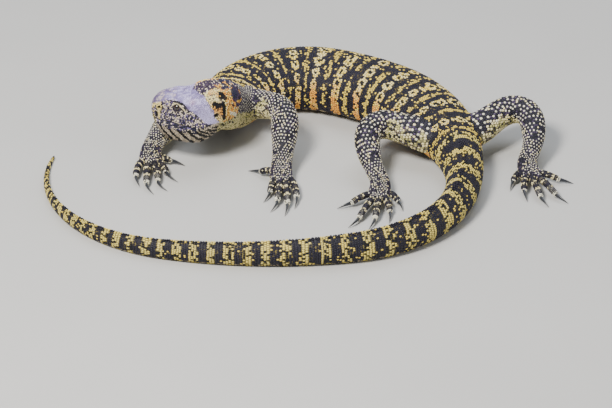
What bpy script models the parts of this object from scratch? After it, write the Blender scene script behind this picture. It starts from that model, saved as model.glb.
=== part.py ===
"""Nile monitor, still and life size, lying on the floor with its head turned to its right.

Plan coordinates are millimetres: x to the picture's right, y away from the camera, z up from the floor.
The path of the body runs from the tip of the snout to the tip of the tail; every section hangs on it.
"""
import math

import bpy
import bmesh
import numpy as np

# Frame: the origin is on the flat under the belly, at this place on the path
MM = 0.001
ORIGIN_S = 265.0
GAP = 0.3

# Head
SNOUT = (151.0, -14.0)
HEAD_LENGTH = 62.0
HEAD_END = 66.0
HEAD_ROLL = 7.0
MOUTH_END = 44.0
EYE_S, EYE_ANGLE, EYE_RADIUS = 27.4, 29.8, 4.3
EAR_S, EAR_ANGLE = 56.0, 4.0
NOSTRIL_S, NOSTRIL_ANGLE = 9.2, 29.0

# Path of the body in plan: length and turn of each stretch, going back from the snout
START_TURN = -4.0
STRETCHES = (
    (40.0, 0.0), (44.0, 85.0), (36.0, 0.0),
    (130.0, -99.0), (180.0, -52.0),
    (60.0, -18.0), (190.0, -80.0), (190.0, -26.0), (255.0, -92.0),
)
BODY_END = sum(length for length, _ in STRETCHES)

# Height of the path over the floor
AXIS_HEIGHTS = (
    (0.0, 60.0), (56.0, 60.5), (66.0, 60.6), (74.0, 58.6), (84.0, 52.6), (97.0, 44.0), (108.0, 38.0), (120.0, 33.4),
    (140.0, 29.4), (165.0, 28.0), (250.0, 28.0),
    (340.0, 28.0), (400.0, 26.0), (430.0, 24.5), (470.0, 21.5), (520.0, 18.0), (640.0, 14.2),
    (800.0, 10.6), (950.0, 7.3), (1060.0, 4.6), (1125.0, 2.2),
)

# Sections: place on the path, half width, height over the path, depth under it
SECTIONS = (
    (0.0, 0.0, 0.0, 0.0), (0.5, 4.8, 4.8, 6.0), (1.5, 7.2, 7.6, 10.6), (3.0, 9.0, 10.0, 16.2),
    (5.0, 10.5, 12.4, 22.4), (8.0, 12.2, 15.0, 28.6), (12.0, 13.6, 17.2, 33.6), (18.0, 14.9, 18.8, 37.2),
    (24.0, 16.2, 19.8, 38.9), (30.0, 17.6, 20.4, 39.8), (37.0, 19.4, 21.0, 40.3), (44.0, 20.9, 22.4, 40.3),
    (52.0, 22.2, 24.4, 37.0), (60.0, 22.4, 25.6, 30.6), (68.0, 22.2, 24.8, 27.4), (78.0, 22.0, 23.2, 26.6),
    (90.0, 22.8, 22.2, 26.6), (100.0, 25.0, 22.2, 26.8), (110.0, 28.0, 22.8, 27.4), (120.0, 30.6, 23.6, 28.2),
    (140.0, 33.4, 24.6, 28.0),
    (170.0, 35.8, 25.6, 28.2), (250.0, 39.6, 27.4, 29.2), (330.0, 40.0, 27.4, 29.2), (380.0, 36.4, 26.4, 28.0),
    (410.0, 32.4, 25.6, 26.4), (430.0, 29.2, 24.8, 25.0), (450.0, 25.2, 23.6, 23.6), (480.0, 20.6, 22.2, 21.4),
    (520.0, 17.0, 20.6, 18.6), (580.0, 14.6, 19.0, 16.4), (700.0, 11.4, 16.0, 13.2), (850.0, 7.8, 11.6, 9.7),
    (980.0, 4.8, 7.6, 6.8), (1080.0, 2.6, 4.4, 4.2), (1118.0, 1.3, 2.2, 2.5), (1125.0, 0.35, 0.7, 0.9),
)

# Squareness of the sections: place, exponent of the upper half, exponent of the lower half
SQUARENESS = (
    (0.0, 2.3, 2.1), (20.0, 2.7, 2.2), (50.0, 2.7, 2.3), (70.0, 2.3, 2.3), (100.0, 2.1, 2.2), (200.0, 2.15, 2.5),
    (400.0, 2.1, 2.5), (470.0, 1.8, 2.3), (560.0, 1.6, 2.2), (1125.0, 1.6, 2.2),
)

# Nodes along the body: name, start, end, rings, points around
LENGTHS = (
    ("neck", 66.0, 101.0, 11, 30),
    ("torso_front", 101.0, 205.0, 16, 30),
    ("torso_mid", 205.0, 330.0, 13, 30),
    ("torso_rear", 330.0, 452.0, 16, 30),
    ("tail_1", 452.0, 540.0, 10, 22),
    ("tail_2", 540.0, 630.0, 10, 18),
    ("tail_3", 630.0, 725.0, 10, 16),
    ("tail_4", 725.0, 825.0, 10, 14),
    ("tail_5", 825.0, 925.0, 9, 12),
    ("tail_6", 925.0, 1025.0, 9, 10),
    ("tail_7", 1025.0, 1125.0, 9, 8),
)

# Limbs: points of the path, then (place on it, half width, half height), then the cuts between the parts
LIMBS = {
    "front_left": dict(
        path=((238.0, 54.0, 28.0), (256.0, 43.0, 32.0), (283.0, 6.0, 45.0), (284.0, -26.0, 30.0),
              (281.5, -50.0, 14.5), (281.0, -66.0, 9.0)),
        sizes=((0.0, 13.0, 13.5), (0.16, 15.0, 16.0), (0.33, 13.4, 14.6), (0.47, 13.0, 13.6), (0.57, 13.8, 13.4),
               (0.68, 13.0, 12.0), (0.80, 10.8, 9.2), (0.89, 10.4, 7.6), (1.0, 12.0, 6.4)),
        cuts=(0.26, 0.50, 0.885), names=("upper_arm", "forearm", "hand")),
    "front_right": dict(
        path=((222.0, 60.0, 28.0), (206.0, 60.0, 28.0), (181.0, 52.0, 26.0), (163.0, 12.0, 19.0),
              (151.0, -15.0, 14.0), (150.0, -31.0, 9.0)),
        sizes=((0.0, 13.0, 13.5), (0.16, 15.0, 16.0), (0.33, 13.4, 14.6), (0.47, 13.0, 13.6), (0.57, 13.8, 13.4),
               (0.68, 13.0, 12.0), (0.80, 10.8, 9.2), (0.89, 10.4, 7.6), (1.0, 12.0, 6.4)),
        cuts=(0.27, 0.50, 0.885), names=("upper_arm", "forearm", "hand")),
    "rear_left": dict(
        path=((447.0, -17.0, 24.0), (427.0, -19.0, 28.0), (389.0, -7.0, 36.0), (368.0, -25.0, 37.0),
              (370.0, -57.0, 24.0), (380.0, -83.0, 12.5), (378.0, -101.0, 8.0)),
        sizes=((0.0, 16.0, 16.0), (0.14, 17.6, 17.6), (0.33, 15.0, 15.4), (0.47, 13.6, 14.0), (0.57, 13.2, 12.6),
               (0.68, 11.8, 11.0), (0.80, 9.6, 8.6), (0.89, 10.0, 7.2), (1.0, 12.0, 6.2)),
        cuts=(0.345, 0.53, 0.885), names=("thigh", "shank", "foot")),
    "rear_right": dict(
        path=((457.0, -15.0, 24.0), (477.0, -7.0, 28.0), (508.0, 22.0, 36.0), (531.0, 13.0, 37.0),
              (535.0, -17.0, 24.0), (527.0, -43.0, 12.5), (530.0, -61.0, 8.0)),
        sizes=((0.0, 16.0, 16.0), (0.14, 17.6, 17.6), (0.33, 15.0, 15.4), (0.47, 13.6, 14.0), (0.57, 13.2, 12.6),
               (0.68, 11.8, 11.0), (0.80, 9.6, 8.6), (0.89, 10.0, 7.2), (1.0, 12.0, 6.2)),
        cuts=(0.29, 0.50, 0.885), names=("thigh", "shank", "foot")),
}

# Digits: root, middle and tip of each one and the tip of its claw, all in plan
DIGITS = {
    "front_left": (
        ((274.5, -54.0, 8.4), (267.0, -52.0, 8.2), (260.0, -48.0, 4.2), (247.5, -40.0, 0.5)),
        ((276.5, -66.0, 8.2), (272.5, -80.0, 8.4), (270.0, -92.0, 4.2), (263.5, -104.0, 0.5)),
        ((280.0, -70.0, 8.6), (279.0, -92.0, 9.2), (277.5, -110.0, 4.2), (270.5, -123.0, 0.5)),
        ((284.5, -70.0, 8.4), (287.0, -94.0, 9.2), (287.5, -116.0, 4.2), (285.0, -131.0, 0.5)),
        ((288.5, -66.0, 8.0), (294.5, -84.0, 8.4), (297.0, -102.0, 4.2), (294.5, -117.0, 0.5)),
    ),
    "front_right": (
        ((156.0, -24.0, 7.6), (163.5, -26.0, 7.4), (171.0, -26.5, 4.2), (185.0, -30.0, 0.5)),
        ((155.0, -31.0, 8.2), (162.0, -41.0, 8.4), (167.0, -52.0, 4.2), (178.5, -63.0, 0.5)),
        ((152.0, -34.0, 8.6), (156.5, -52.0, 9.2), (158.5, -70.0, 4.2), (168.5, -81.0, 0.5)),
        ((148.5, -34.0, 8.4), (147.0, -54.0, 9.2), (147.0, -75.0, 4.2), (155.0, -88.0, 0.5)),
        ((144.5, -30.0, 8.0), (138.0, -44.0, 8.4), (136.0, -60.0, 4.2), (141.0, -74.0, 0.5)),
    ),
    "rear_left": (
        ((385.5, -95.0, 7.2), (393.0, -101.0, 7.2), (398.0, -109.0, 4.0), (402.0, -121.0, 0.5)),
        ((383.0, -103.0, 7.6), (387.0, -117.0, 8.2), (389.0, -131.0, 4.0), (388.0, -145.0, 0.5)),
        ((379.0, -105.0, 7.8), (376.5, -125.0, 8.8), (373.5, -145.0, 4.0), (367.0, -158.0, 0.5)),
        ((375.0, -103.0, 7.8), (366.0, -124.0, 8.8), (357.0, -144.0, 4.0), (347.0, -154.0, 0.5)),
        ((372.0, -97.0, 7.4), (361.0, -105.0, 8.0), (349.5, -112.0, 4.0), (336.5, -116.0, 0.5)),
    ),
    "rear_right": (
        ((523.0, -53.0, 7.2), (516.5, -60.0, 7.2), (512.0, -69.0, 4.0), (509.5, -81.0, 0.5)),
        ((526.0, -61.0, 7.6), (523.5, -75.0, 8.2), (523.0, -89.0, 4.0), (526.0, -103.0, 0.5)),
        ((530.5, -63.0, 7.8), (534.5, -83.0, 8.8), (539.5, -102.0, 4.0), (547.0, -114.0, 0.5)),
        ((534.5, -61.0, 7.8), (545.0, -80.0, 8.8), (555.5, -97.0, 4.0), (566.5, -106.0, 0.5)),
        ((536.5, -55.0, 7.4), (548.0, -61.0, 8.0), (560.0, -65.0, 4.0), (573.5, -66.0, 0.5)),
    ),
}
DIGIT_RADII = {"front_left": 4.0, "front_right": 4.0, "rear_left": 3.9, "rear_right": 3.9}
CLAW_RADIUS = 2.1


def pchip(table, x, column=1):
    """Monotone cubic interpolation through the rows of a table."""
    rows = np.asarray(table, float)
    xs, ys = rows[:, 0], rows[:, column]
    h = np.diff(xs)
    d = np.diff(ys) / h
    m = np.zeros_like(ys)
    w1, w2 = 2 * h[1:] + h[:-1], h[1:] + 2 * h[:-1]
    with np.errstate(divide="ignore", invalid="ignore"):
        inner = (w1 + w2) / (w1 / d[:-1] + w2 / d[1:])
    m[1:-1] = np.where(d[:-1] * d[1:] > 0, inner, 0.0)
    m[0], m[-1] = d[0], d[-1]
    x = np.clip(np.asarray(x, float), xs[0], xs[-1])
    i = np.clip(np.searchsorted(xs, x) - 1, 0, len(h) - 1)
    t = (x - xs[i]) / h[i]
    return ((1 + 2 * t) * (1 - t) ** 2 * ys[i] + t * (1 - t) ** 2 * h[i] * m[i]
            + t * t * (3 - 2 * t) * ys[i + 1] + t * t * (t - 1) * h[i] * m[i + 1])


def bell(x, centre, width):
    """Smooth bump of height one."""
    return np.exp(-((x - centre) / width) ** 2)


def build_path():
    """Samples the path every half millimetre: places, points and directions."""
    places = np.arange(0.0, BODY_END + 0.25, 0.5)
    ends = np.cumsum([0.0] + [length for length, _ in STRETCHES])
    angles = START_TURN + np.cumsum([0.0] + [turn for _, turn in STRETCHES])
    angle = np.interp(places, ends, angles)
    angle = np.convolve(np.pad(angle, 24, mode="edge"), np.ones(49) / 49, mode="valid")
    angle[places < 28] = START_TURN
    direction = np.radians(angle)
    step = 0.5
    mid = (direction[1:] + direction[:-1]) / 2
    x = SNOUT[0] + np.concatenate([[0], np.cumsum(np.cos(mid) * step)])
    y = SNOUT[1] + np.concatenate([[0], np.cumsum(np.sin(mid) * step)])
    z = pchip(AXIS_HEIGHTS, places)
    even = np.convolve(np.pad(z, 20, mode="edge"), np.ones(41) / 41, mode="valid")
    z = np.where((places > 40) & (places < BODY_END - 12), even, z)
    points = np.stack([x, y, z], -1)
    tangent = np.gradient(points, step, axis=0)
    tangent /= np.linalg.norm(tangent, axis=1, keepdims=True)
    return places, points, tangent


PLACES, POINTS, TANGENTS = build_path()


def frame_at(s):
    """Point, backward direction, left and up of the body at a place on its path."""
    s = np.asarray(s, float)
    point = np.stack([np.interp(s, PLACES, POINTS[:, k]) for k in range(3)], -1)
    back = np.stack([np.interp(s, PLACES, TANGENTS[:, k]) for k in range(3)], -1)
    back /= np.linalg.norm(back, axis=-1, keepdims=True)
    lean = np.clip((s - 440.0) / 40.0, 0, 1)[..., None]
    flat = back * np.array([1.0, 1.0, 0.0])
    flat /= np.linalg.norm(flat, axis=-1, keepdims=True)
    back = back * (1 - lean) + flat * lean
    left = np.cross(back, np.array([0.0, 0.0, 1.0]))
    left /= np.linalg.norm(left, axis=-1, keepdims=True)
    up = np.cross(left, back)
    roll = np.radians(HEAD_ROLL * np.clip((100.0 - s) / 55.0, 0, 1))[..., None]
    left, up = left * np.cos(roll) - up * np.sin(roll), up * np.cos(roll) + left * np.sin(roll)
    return point, back, left, up


ORIGIN = frame_at(ORIGIN_S)[0] * np.array([1.0, 1.0, 0.0])


def section(s, theta):
    """Offsets to the left and upward of the skin at a place and an angle (0 left, 90 top)."""
    width, top, depth = (pchip(SECTIONS, s, k) for k in (1, 2, 3))
    upper, lower = pchip(SQUARENESS, s, 1), pchip(SQUARENESS, s, 2)
    c, q = np.cos(theta), np.sin(theta)
    power = np.where(q >= 0, upper, lower)
    height = np.where(q >= 0, top, depth)
    reach = (np.abs(c) ** power + np.abs(q) ** power) ** (-1 / power)
    return width * c * reach, height * q * reach


def surface(s, theta):
    """Points of the plain body surface in plan coordinates."""
    s, theta = np.broadcast_arrays(np.asarray(s, float), np.asarray(theta, float))
    side, rise = section(s, theta)
    point, _, left, up = frame_at(s)
    out = point + left * side[..., None] + up * rise[..., None]
    out[..., 2] = np.maximum(out[..., 2], 0.0)
    return out


def place(points):
    """Plan millimetres to object metres."""
    return (np.asarray(points, float) - ORIGIN) * MM


MATERIALS = {}


def material(name, colour, roughness):
    """Plain material, made once."""
    if name not in MATERIALS:
        mat = bpy.data.materials.new(name)
        mat.use_nodes = True
        shader = mat.node_tree.nodes["Principled BSDF"]
        shader.inputs["Base Color"].default_value = (*colour, 1.0)
        shader.inputs["Roughness"].default_value = roughness
        mat.diffuse_color = (*colour, 1.0)
        MATERIALS[name] = mat
    return MATERIALS[name]


SKIN = dict(colour=(0.075, 0.075, 0.085), roughness=0.5)
BELLY = dict(colour=(0.30, 0.24, 0.10), roughness=0.55)
HORN = dict(colour=(0.03, 0.03, 0.035), roughness=0.3)
EYE = dict(colour=(0.02, 0.012, 0.006), roughness=0.08)


def mesh_object(name, vertices, faces, look, helper=False):
    """Mesh object from plan points, with normals outward and its own material."""
    mesh = bpy.data.meshes.new(name)
    mesh.from_pydata(place(vertices).tolist(), [], faces)
    mesh.update()
    work = bmesh.new()
    work.from_mesh(mesh)
    bmesh.ops.recalc_face_normals(work, faces=work.faces)
    work.to_mesh(mesh)
    work.free()
    obj = bpy.data.objects.new(name, mesh)
    bpy.context.scene.collection.objects.link(obj)
    if helper:
        obj.hide_render = True
        obj.display_type = "WIRE"
    else:
        mesh.materials.append(material("mat_" + name, **look))
        mesh.polygons.foreach_set("use_smooth", [True] * len(mesh.polygons))
    return obj


def loft(rings, pole_start=None, pole_end=None):
    """Vertices and faces of a tube through rings, capped flat or drawn to a pole."""
    rings = [np.asarray(ring) for ring in rings]
    n = len(rings[0])
    vertices = np.concatenate(rings)
    faces = []
    for i in range(len(rings) - 1):
        for j in range(n):
            k = (j + 1) % n
            faces.append((i * n + j, i * n + k, (i + 1) * n + k, (i + 1) * n + j))
    for pole, base in ((pole_start, 0), (pole_end, (len(rings) - 1) * n)):
        if pole is None:
            faces.append(tuple(range(base, base + n)))
        else:
            vertices = np.concatenate([vertices, [pole]])
            tip = len(vertices) - 1
            faces += [(base + j, base + (j + 1) % n, tip) for j in range(n)]
    return vertices, faces


def unite(target, others, operation="UNION", solver="EXACT"):
    """Applies a Boolean of other objects to a target and removes them."""
    for other in others:
        modifier = target.modifiers.new("join", "BOOLEAN")
        modifier.operation = operation
        modifier.solver = solver
        modifier.object = other
        graph = bpy.context.evaluated_depsgraph_get()
        mesh = bpy.data.meshes.new_from_object(target.evaluated_get(graph))
        target.modifiers.clear()
        old = target.data
        target.data = mesh
        mesh.name = target.name
        bpy.data.meshes.remove(old)
        bpy.data.objects.remove(other)
    work = bmesh.new()
    work.from_mesh(target.data)
    bmesh.ops.remove_doubles(work, verts=work.verts, dist=1e-6)
    bmesh.ops.dissolve_degenerate(work, edges=work.edges, dist=2e-6)
    work.to_mesh(target.data)
    work.free()
    target.data.polygons.foreach_set("use_smooth", [True] * len(target.data.polygons))


def limb_path(points, count):
    """Smooth path through the points of a limb, evenly spaced."""
    p = np.asarray(points, float)
    p = np.concatenate([[2 * p[0] - p[1]], p, [2 * p[-1] - p[-2]]])
    fine = []
    for i in range(1, len(p) - 2):
        t = np.linspace(0, 1, 40, endpoint=i == len(p) - 3)[:, None]
        a, b, c, d = p[i - 1], p[i], p[i + 1], p[i + 2]
        fine.append(0.5 * ((2 * b) + (c - a) * t + (2 * a - 5 * b + 4 * c - d) * t ** 2
                           + (3 * b - 3 * c + d - a) * t ** 3))
    fine = np.concatenate(fine)
    for _ in range(190):
        fine[1:-1] = (fine[:-2] + fine[1:-1] * 2 + fine[2:]) / 4
    run = np.concatenate([[0], np.cumsum(np.linalg.norm(np.diff(fine, axis=0), axis=1))])
    at = np.linspace(0, run[-1], count)
    return np.stack([np.interp(at, run, fine[:, k]) for k in range(3)], -1)


def tube_rings(points, half_widths, half_heights, around, bottom_flat=True):
    """Rings of a limb or digit; the width lies level, the height stands across it."""
    points = np.asarray(points, float)
    tangent = np.gradient(points, axis=0)
    tangent /= np.linalg.norm(tangent, axis=1, keepdims=True)
    level = np.cross(tangent, np.array([0.0, 0.0, 1.0]))
    level /= np.linalg.norm(level, axis=1, keepdims=True)
    upright = np.cross(level, tangent)
    theta = np.linspace(0, 2 * np.pi, around, endpoint=False) + np.pi / around
    rings = []
    for point, a, b, w, h in zip(points, level, upright, half_widths, half_heights):
        ring = point + a * (w * np.cos(theta))[:, None] + b * (h * np.sin(theta))[:, None]
        if bottom_flat:
            ring[:, 2] = np.maximum(ring[:, 2], 0.0)
        rings.append(ring)
    return rings


def limb_piece(limb, start, end, rings, around, inset=0.0):
    """Rings of one stretch of a limb between two places on its path (0 to 1)."""
    count = 400
    points = limb_path(limb["path"], count)
    run = np.linspace(0, 1, count)
    at = np.linspace(start, end, rings)
    sizes = limb["sizes"]
    fine = np.stack([np.interp(at, run, points[:, k]) for k in range(3)], -1)
    tangent = np.stack([np.interp(at, run, np.gradient(points[:, k])) for k in range(3)], -1)
    tangent /= np.linalg.norm(tangent, axis=1, keepdims=True)
    level = np.cross(tangent, np.array([0.0, 0.0, 1.0]))
    level /= np.linalg.norm(level, axis=1, keepdims=True)
    upright = np.cross(level, tangent)
    theta = np.linspace(0, 2 * np.pi, around, endpoint=False)
    wide, high = pchip(sizes, at, 1) - inset, pchip(sizes, at, 2) - inset
    out = []
    for i in range(rings):
        ring = (fine[i] + level[i] * (wide[i] * np.cos(theta))[:, None]
                + upright[i] * (high[i] * np.sin(theta))[:, None])
        ring[:, 2] = np.maximum(ring[:, 2], 0.0)
        out.append(ring)
    return out


def limb_length(limb):
    """Length of a limb's path in millimetres."""
    points = limb_path(limb["path"], 400)
    return np.linalg.norm(np.diff(points, axis=0), axis=1).sum()


def digit_path(root, middle, tip, count):
    """Arched path of a digit."""
    t = np.linspace(0, 1, count)[:, None]
    root, middle, tip = (np.asarray(v, float) for v in (root, middle, tip))
    control = 2 * middle - (root + tip) / 2
    return root * (1 - t) ** 2 + 2 * control * t * (1 - t) + tip * t * t


def build_lengths():
    """Neck, torso and tail lengths with a narrow gap between the nodes."""
    made = {}
    for name, start, end, rings, around in LENGTHS:
        a, b = start + GAP / 2, end - GAP / 2
        last = name == LENGTHS[-1][0]
        places = np.linspace(a, BODY_END - 0.8 if last else b, rings)
        theta = np.linspace(0, 2 * np.pi, around, endpoint=False) + np.pi / 2
        body = [surface(s, theta) for s in places]
        pole = None
        if last:
            pole = frame_at(BODY_END)[0]
            pole[2] = max(pole[2], 0.3)
        vertices, faces = loft(body, None, pole)
        made[name] = mesh_object(name, vertices, faces, SKIN)
    return made


def head_columns():
    """Angles around the head, close together along the mouth line and beside the eye."""
    lower = (-1.0, -0.87, -0.74, -0.61, -0.49, -0.38, -0.27, -0.17, -0.08)
    upper = (0.075, 0.14, 0.21, 0.28, 0.35, 0.42, 0.49, 0.56, 0.63, 0.70, 0.78, 0.86, 0.93, 1.0)
    return np.array(lower + (-0.022, 0.0, 0.022) + upper)


def mouth_angle(s):
    """Angle of the mouth line, a little under the path and falling to its corner."""
    return np.radians(np.interp(s, [0, 3, 8, 12, 24, 34, 44, 66], [-26.0, -21.0, -15.0, -13.0, -12.0, -15.0, -17.5, -17.5]))


def head_features(s, theta, left_side):
    """Displacement along the normal that shapes brow, lids, cheek, lips and folds (mm)."""
    deg = np.degrees(theta)
    brow = 1.15 * bell(s, EYE_S - 1.5, 6.5) * bell(deg, 52.0, 9.0)
    canthus = 0.5 * bell(s, 14.0, 7.0) * bell(deg, 46.0, 10.0)
    hollow = -0.9 * bell(s, 18.5, 5.0) * bell(deg, 18.0, 12.0)
    crown = -0.8 * bell(s, 26.0, 12.0) * bell(deg, 90.0, 16.0)
    temple = 1.1 * bell(s, 43.0, 7.5) * bell(deg, 28.0, 15.0)
    groove = -0.8 * bell(deg, 41.0 - (s - 34.0) * 0.55, 5.0) * bell(s, 40.0, 8.0)
    cheek = 1.3 * bell(s, 48.0, 7.0) * bell(deg, -14.0, 13.0)
    jaw = -1.2 * bell(s, 58.0, 5.0) * bell(deg, -34.0, 10.0)
    upper_lip = 0.5 * bell(deg, np.degrees(mouth_angle(s)) + 8.0, 5.0) * np.clip((MOUTH_END - s) / 10, 0, 1)
    lower_lip = 0.4 * bell(deg, np.degrees(mouth_angle(s)) - 8.0, 5.0) * np.clip((MOUTH_END - s) / 10, 0, 1)
    nose = 0.7 * bell(s, NOSTRIL_S, 4.0) * bell(deg, 31.0, 16.0)
    folds = 0.5 * np.cos((s - 0.16 * (deg + 40)) * 2 * np.pi / 6.4) * bell(deg, -48.0, 22.0) * bell(s, 40.0, 16.0)
    return (brow + canthus + hollow + crown + temple + groove + cheek + jaw + upper_lip + lower_lip + nose
            + folds) * np.clip(s / 4.0, 0, 1) * np.clip((HEAD_END - s) / 8.0, 0, 1)


def head_surface(s, theta):
    """Surface of the head with its features; theta runs -90 to 90 on the left and on to 270."""
    fold = np.where(theta > np.pi / 2, np.pi - theta, theta)
    base = surface(s, theta)
    ds = surface(s + 0.4, theta) - surface(np.maximum(s - 0.4, 0.05), theta)
    dt = surface(s, theta + 0.02) - surface(s, theta - 0.02)
    normal = np.cross(dt, ds)
    size = np.linalg.norm(normal, axis=-1, keepdims=True)
    normal = np.where(size > 1e-9, normal / np.maximum(size, 1e-9), 0.0)
    outward = base - frame_at(s)[0]
    normal *= np.sign(np.sum(normal * outward, -1, keepdims=True))
    return base, normal, head_features(s, fold, theta <= np.pi / 2)


def eye_centre(side):
    """Centre of an eyeball, sunk in the side of the head."""
    theta = math.radians(EYE_ANGLE)
    angle = theta if side == "left" else math.pi - theta
    base, normal, _ = head_surface(np.array(EYE_S), np.array(angle))
    return base - normal * (EYE_RADIUS * 0.66), normal


def ellipsoid(name, centre, axes, radii, look=None, segments=20, rings=12):
    """Closed ellipsoid on given axes."""
    axes = np.asarray(axes, float)
    phi = np.linspace(0, np.pi, rings + 1)[1:-1]
    theta = np.linspace(0, 2 * np.pi, segments, endpoint=False)
    body = []
    for p in phi:
        local = np.stack([np.sin(p) * np.cos(theta), np.sin(p) * np.sin(theta), np.full_like(theta, np.cos(p))], -1)
        body.append(centre + (local * radii) @ axes)
    top = centre + np.array([0, 0, 1.0]) * radii @ axes
    low = centre - np.array([0, 0, 1.0]) * radii @ axes
    vertices, faces = loft(body, top, low)
    return mesh_object(name, vertices, faces, look or SKIN, helper=look is None)


def axes_from(normal, along):
    """Right-handed axes with the last one along the normal."""
    normal = normal / np.linalg.norm(normal)
    along = along - normal * (along @ normal)
    along /= np.linalg.norm(along)
    return np.stack([along, np.cross(normal, along), normal])


def build_head():
    """Head with mouth line, lips, brow, lids, eye sockets, nostrils and ear cups; then the two eyes."""
    columns = head_columns()
    rows = np.concatenate([[0.35, 0.9, 1.8, 3.0, 4.6, 6.4], np.arange(8.2, 18.0, 2.1), np.arange(19.5, 35.0, 1.5),
                           np.arange(36.5, HEAD_END - 1.0, 2.5), [HEAD_END - GAP / 2]])
    rings = []
    for s in rows:
        mouth = mouth_angle(s)
        half = np.where(columns >= 0, mouth + columns * (np.pi / 2 - mouth), mouth + columns * (np.pi / 2 + mouth))
        theta = np.concatenate([half, (np.pi - half)[::-1][1:-1]])
        key = np.concatenate([columns, columns[::-1][1:-1]])
        base, normal, lift = head_surface(np.full_like(theta, s), theta)
        cut = np.where(np.abs(key) < 0.01, 1.0, 0.0) * np.clip((MOUTH_END - s) / 6, 0, 1) * np.clip(s / 2, 0.15, 1)
        lift = lift - 1.0 * cut
        lift += lid_lift(base)
        rings.append(base + normal * lift[:, None])
    tip = frame_at(0.0)[0]
    vertices, faces = loft(rings, tip, None)
    head = mesh_object("head", vertices, faces, SKIN)
    _, back, left, up = frame_at(EYE_S)
    cutters = []
    for side in ("left", "right"):
        centre, normal = eye_centre(side)
        axes = axes_from(normal, back)
        cutters.append(ellipsoid("socket_" + side, centre, axes, np.full(3, EYE_RADIUS + GAP), None, 20, 10))
        angle = math.radians(NOSTRIL_ANGLE)
        base, normal, _ = head_surface(np.array(NOSTRIL_S), np.array(angle if side == "left" else math.pi - angle))
        tilt = -0.5 if side == "left" else 0.5
        cutters.append(ellipsoid("nostril_" + side, base + normal * 0.7, axes_from(normal, back + up * 0.9),
                                 np.array([2.0, 1.1, 2.2]), None, 10, 6))
        angle = math.radians(EAR_ANGLE)
        base, normal, _ = head_surface(np.array(EAR_S), np.array(angle if side == "left" else math.pi - angle))
        cutters.append(ellipsoid("ear_" + side, base + normal * 0.2, axes_from(normal, up + back * 0.25 * tilt),
                                 np.array([3.4, 2.0, 2.4]), None, 14, 8))
    unite(head, cutters, "DIFFERENCE")
    for side in ("left", "right"):
        centre, normal = eye_centre(side)
        ellipsoid("eye_" + side, centre, axes_from(normal, back), np.full(3, EYE_RADIUS), EYE, 12, 7)
    return head


def lid_lift(points):
    """Raised rim of the lids around each eye."""
    lift = np.zeros(len(points))
    for side in ("left", "right"):
        centre, normal = eye_centre(side)
        away = points - (centre + normal * EYE_RADIUS * 0.66)
        flat = away - normal * (away @ normal)[:, None]
        distance = np.linalg.norm(flat, axis=1)
        near = np.abs(away @ normal) < 6.0
        lift += near * 1.25 * bell(distance, EYE_RADIUS * 0.92, 1.5)
    return lift


def build_limbs(body):
    """Limb roots joined to the torso, then upper, lower and end parts, digits and claws."""
    for key, limb in LIMBS.items():
        front = key.startswith("front")
        torso = body["torso_front" if front else "torso_rear"]
        run = limb_length(limb)
        half = GAP / 2 / run
        a, b, c = limb["cuts"]
        vertices, faces = loft(limb_piece(limb, 0.03, a - half, 7, 14))
        root = mesh_object("root_" + key, vertices, faces, SKIN, helper=True)
        unite(torso, [root])
        for name, start, end, rings in ((limb["names"][0], a, b, 8), (limb["names"][1], b, c, 10)):
            vertices, faces = loft(limb_piece(limb, start + half, end - half, rings, 14))
            mesh_object(f"{name}_{key}", vertices, faces, SKIN)
        build_hand(key, limb, c + half)


def build_hand(key, limb, start):
    """Palm or sole with five digits as one body, and five separate claws."""
    rings = limb_piece(limb, start, 1.0, 5, 14)
    pole = rings[-1].mean(axis=0)
    previous = rings[-2].mean(axis=0)
    ahead = (pole - previous) / np.linalg.norm(pole - previous)
    for reach, shrink in ((2.4, 0.86), (4.2, 0.55)):
        ring = pole + (rings[4] - pole) * shrink + ahead * reach
        ring[:, 2] = np.maximum(ring[:, 2], 0.0)
        rings.append(ring)
    tip = pole + ahead * 5.0
    vertices, faces = loft(rings, None, tip)
    name = f"{limb['names'][2]}_{key}"
    hand = mesh_object(name, vertices, faces, SKIN)
    radius = DIGIT_RADII[key]
    digits = []
    for number, (root, middle, end, claw) in enumerate(DIGITS[key], 1):
        path = digit_path(root, middle, end, 7)
        t = np.linspace(0, 1, 7)
        thick = radius * (1.0 - 0.20 * t + 0.07 * bell(t, 0.42, 0.12) + 0.05 * bell(t, 0.8, 0.1))
        body = tube_rings(path, thick, thick * 0.95, 8)
        vertices, faces = loft(body)
        digits.append(mesh_object(f"digit_{number}_{key}", vertices, faces, SKIN, helper=True))
        build_claw(f"claw_{number}_{key}", path[-1], path[-1] - path[-2], claw)
    unite(hand, digits)


def build_claw(name, root, heading, tip):
    """Curved claw that starts a narrow gap beyond the end of its digit."""
    heading = heading / np.linalg.norm(heading)
    root = np.asarray(root) + heading * GAP
    tip = np.asarray(tip, float)
    reach = np.linalg.norm(tip - root)
    control = root + heading * reach * 0.42 + np.array([0, 0, reach * 0.16])
    t = np.array([0.0, 0.28, 0.56, 0.82])[:, None]
    path = root * (1 - t) ** 2 + 2 * control * t * (1 - t) + tip * t * t
    thick = CLAW_RADIUS * np.array([1.0, 0.88, 0.64, 0.32])
    tangent = np.gradient(path, axis=0)
    tangent[0] = heading
    tangent /= np.linalg.norm(tangent, axis=1, keepdims=True)
    level = np.cross(tangent, np.array([0.0, 0.0, 1.0]))
    level /= np.linalg.norm(level, axis=1, keepdims=True)
    upright = np.cross(level, tangent)
    theta = np.linspace(0, 2 * np.pi, 6, endpoint=False)
    rings = []
    for p, a, b, r in zip(path, level, upright, thick):
        ring = p + a * (0.8 * r * np.cos(theta))[:, None] + b * (r * np.sin(theta))[:, None]
        ring[:, 2] = np.maximum(ring[:, 2], 0.2)
        rings.append(ring)
    vertices, faces = loft(rings, None, tip)
    mesh_object(name, vertices, faces, HORN)


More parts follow.
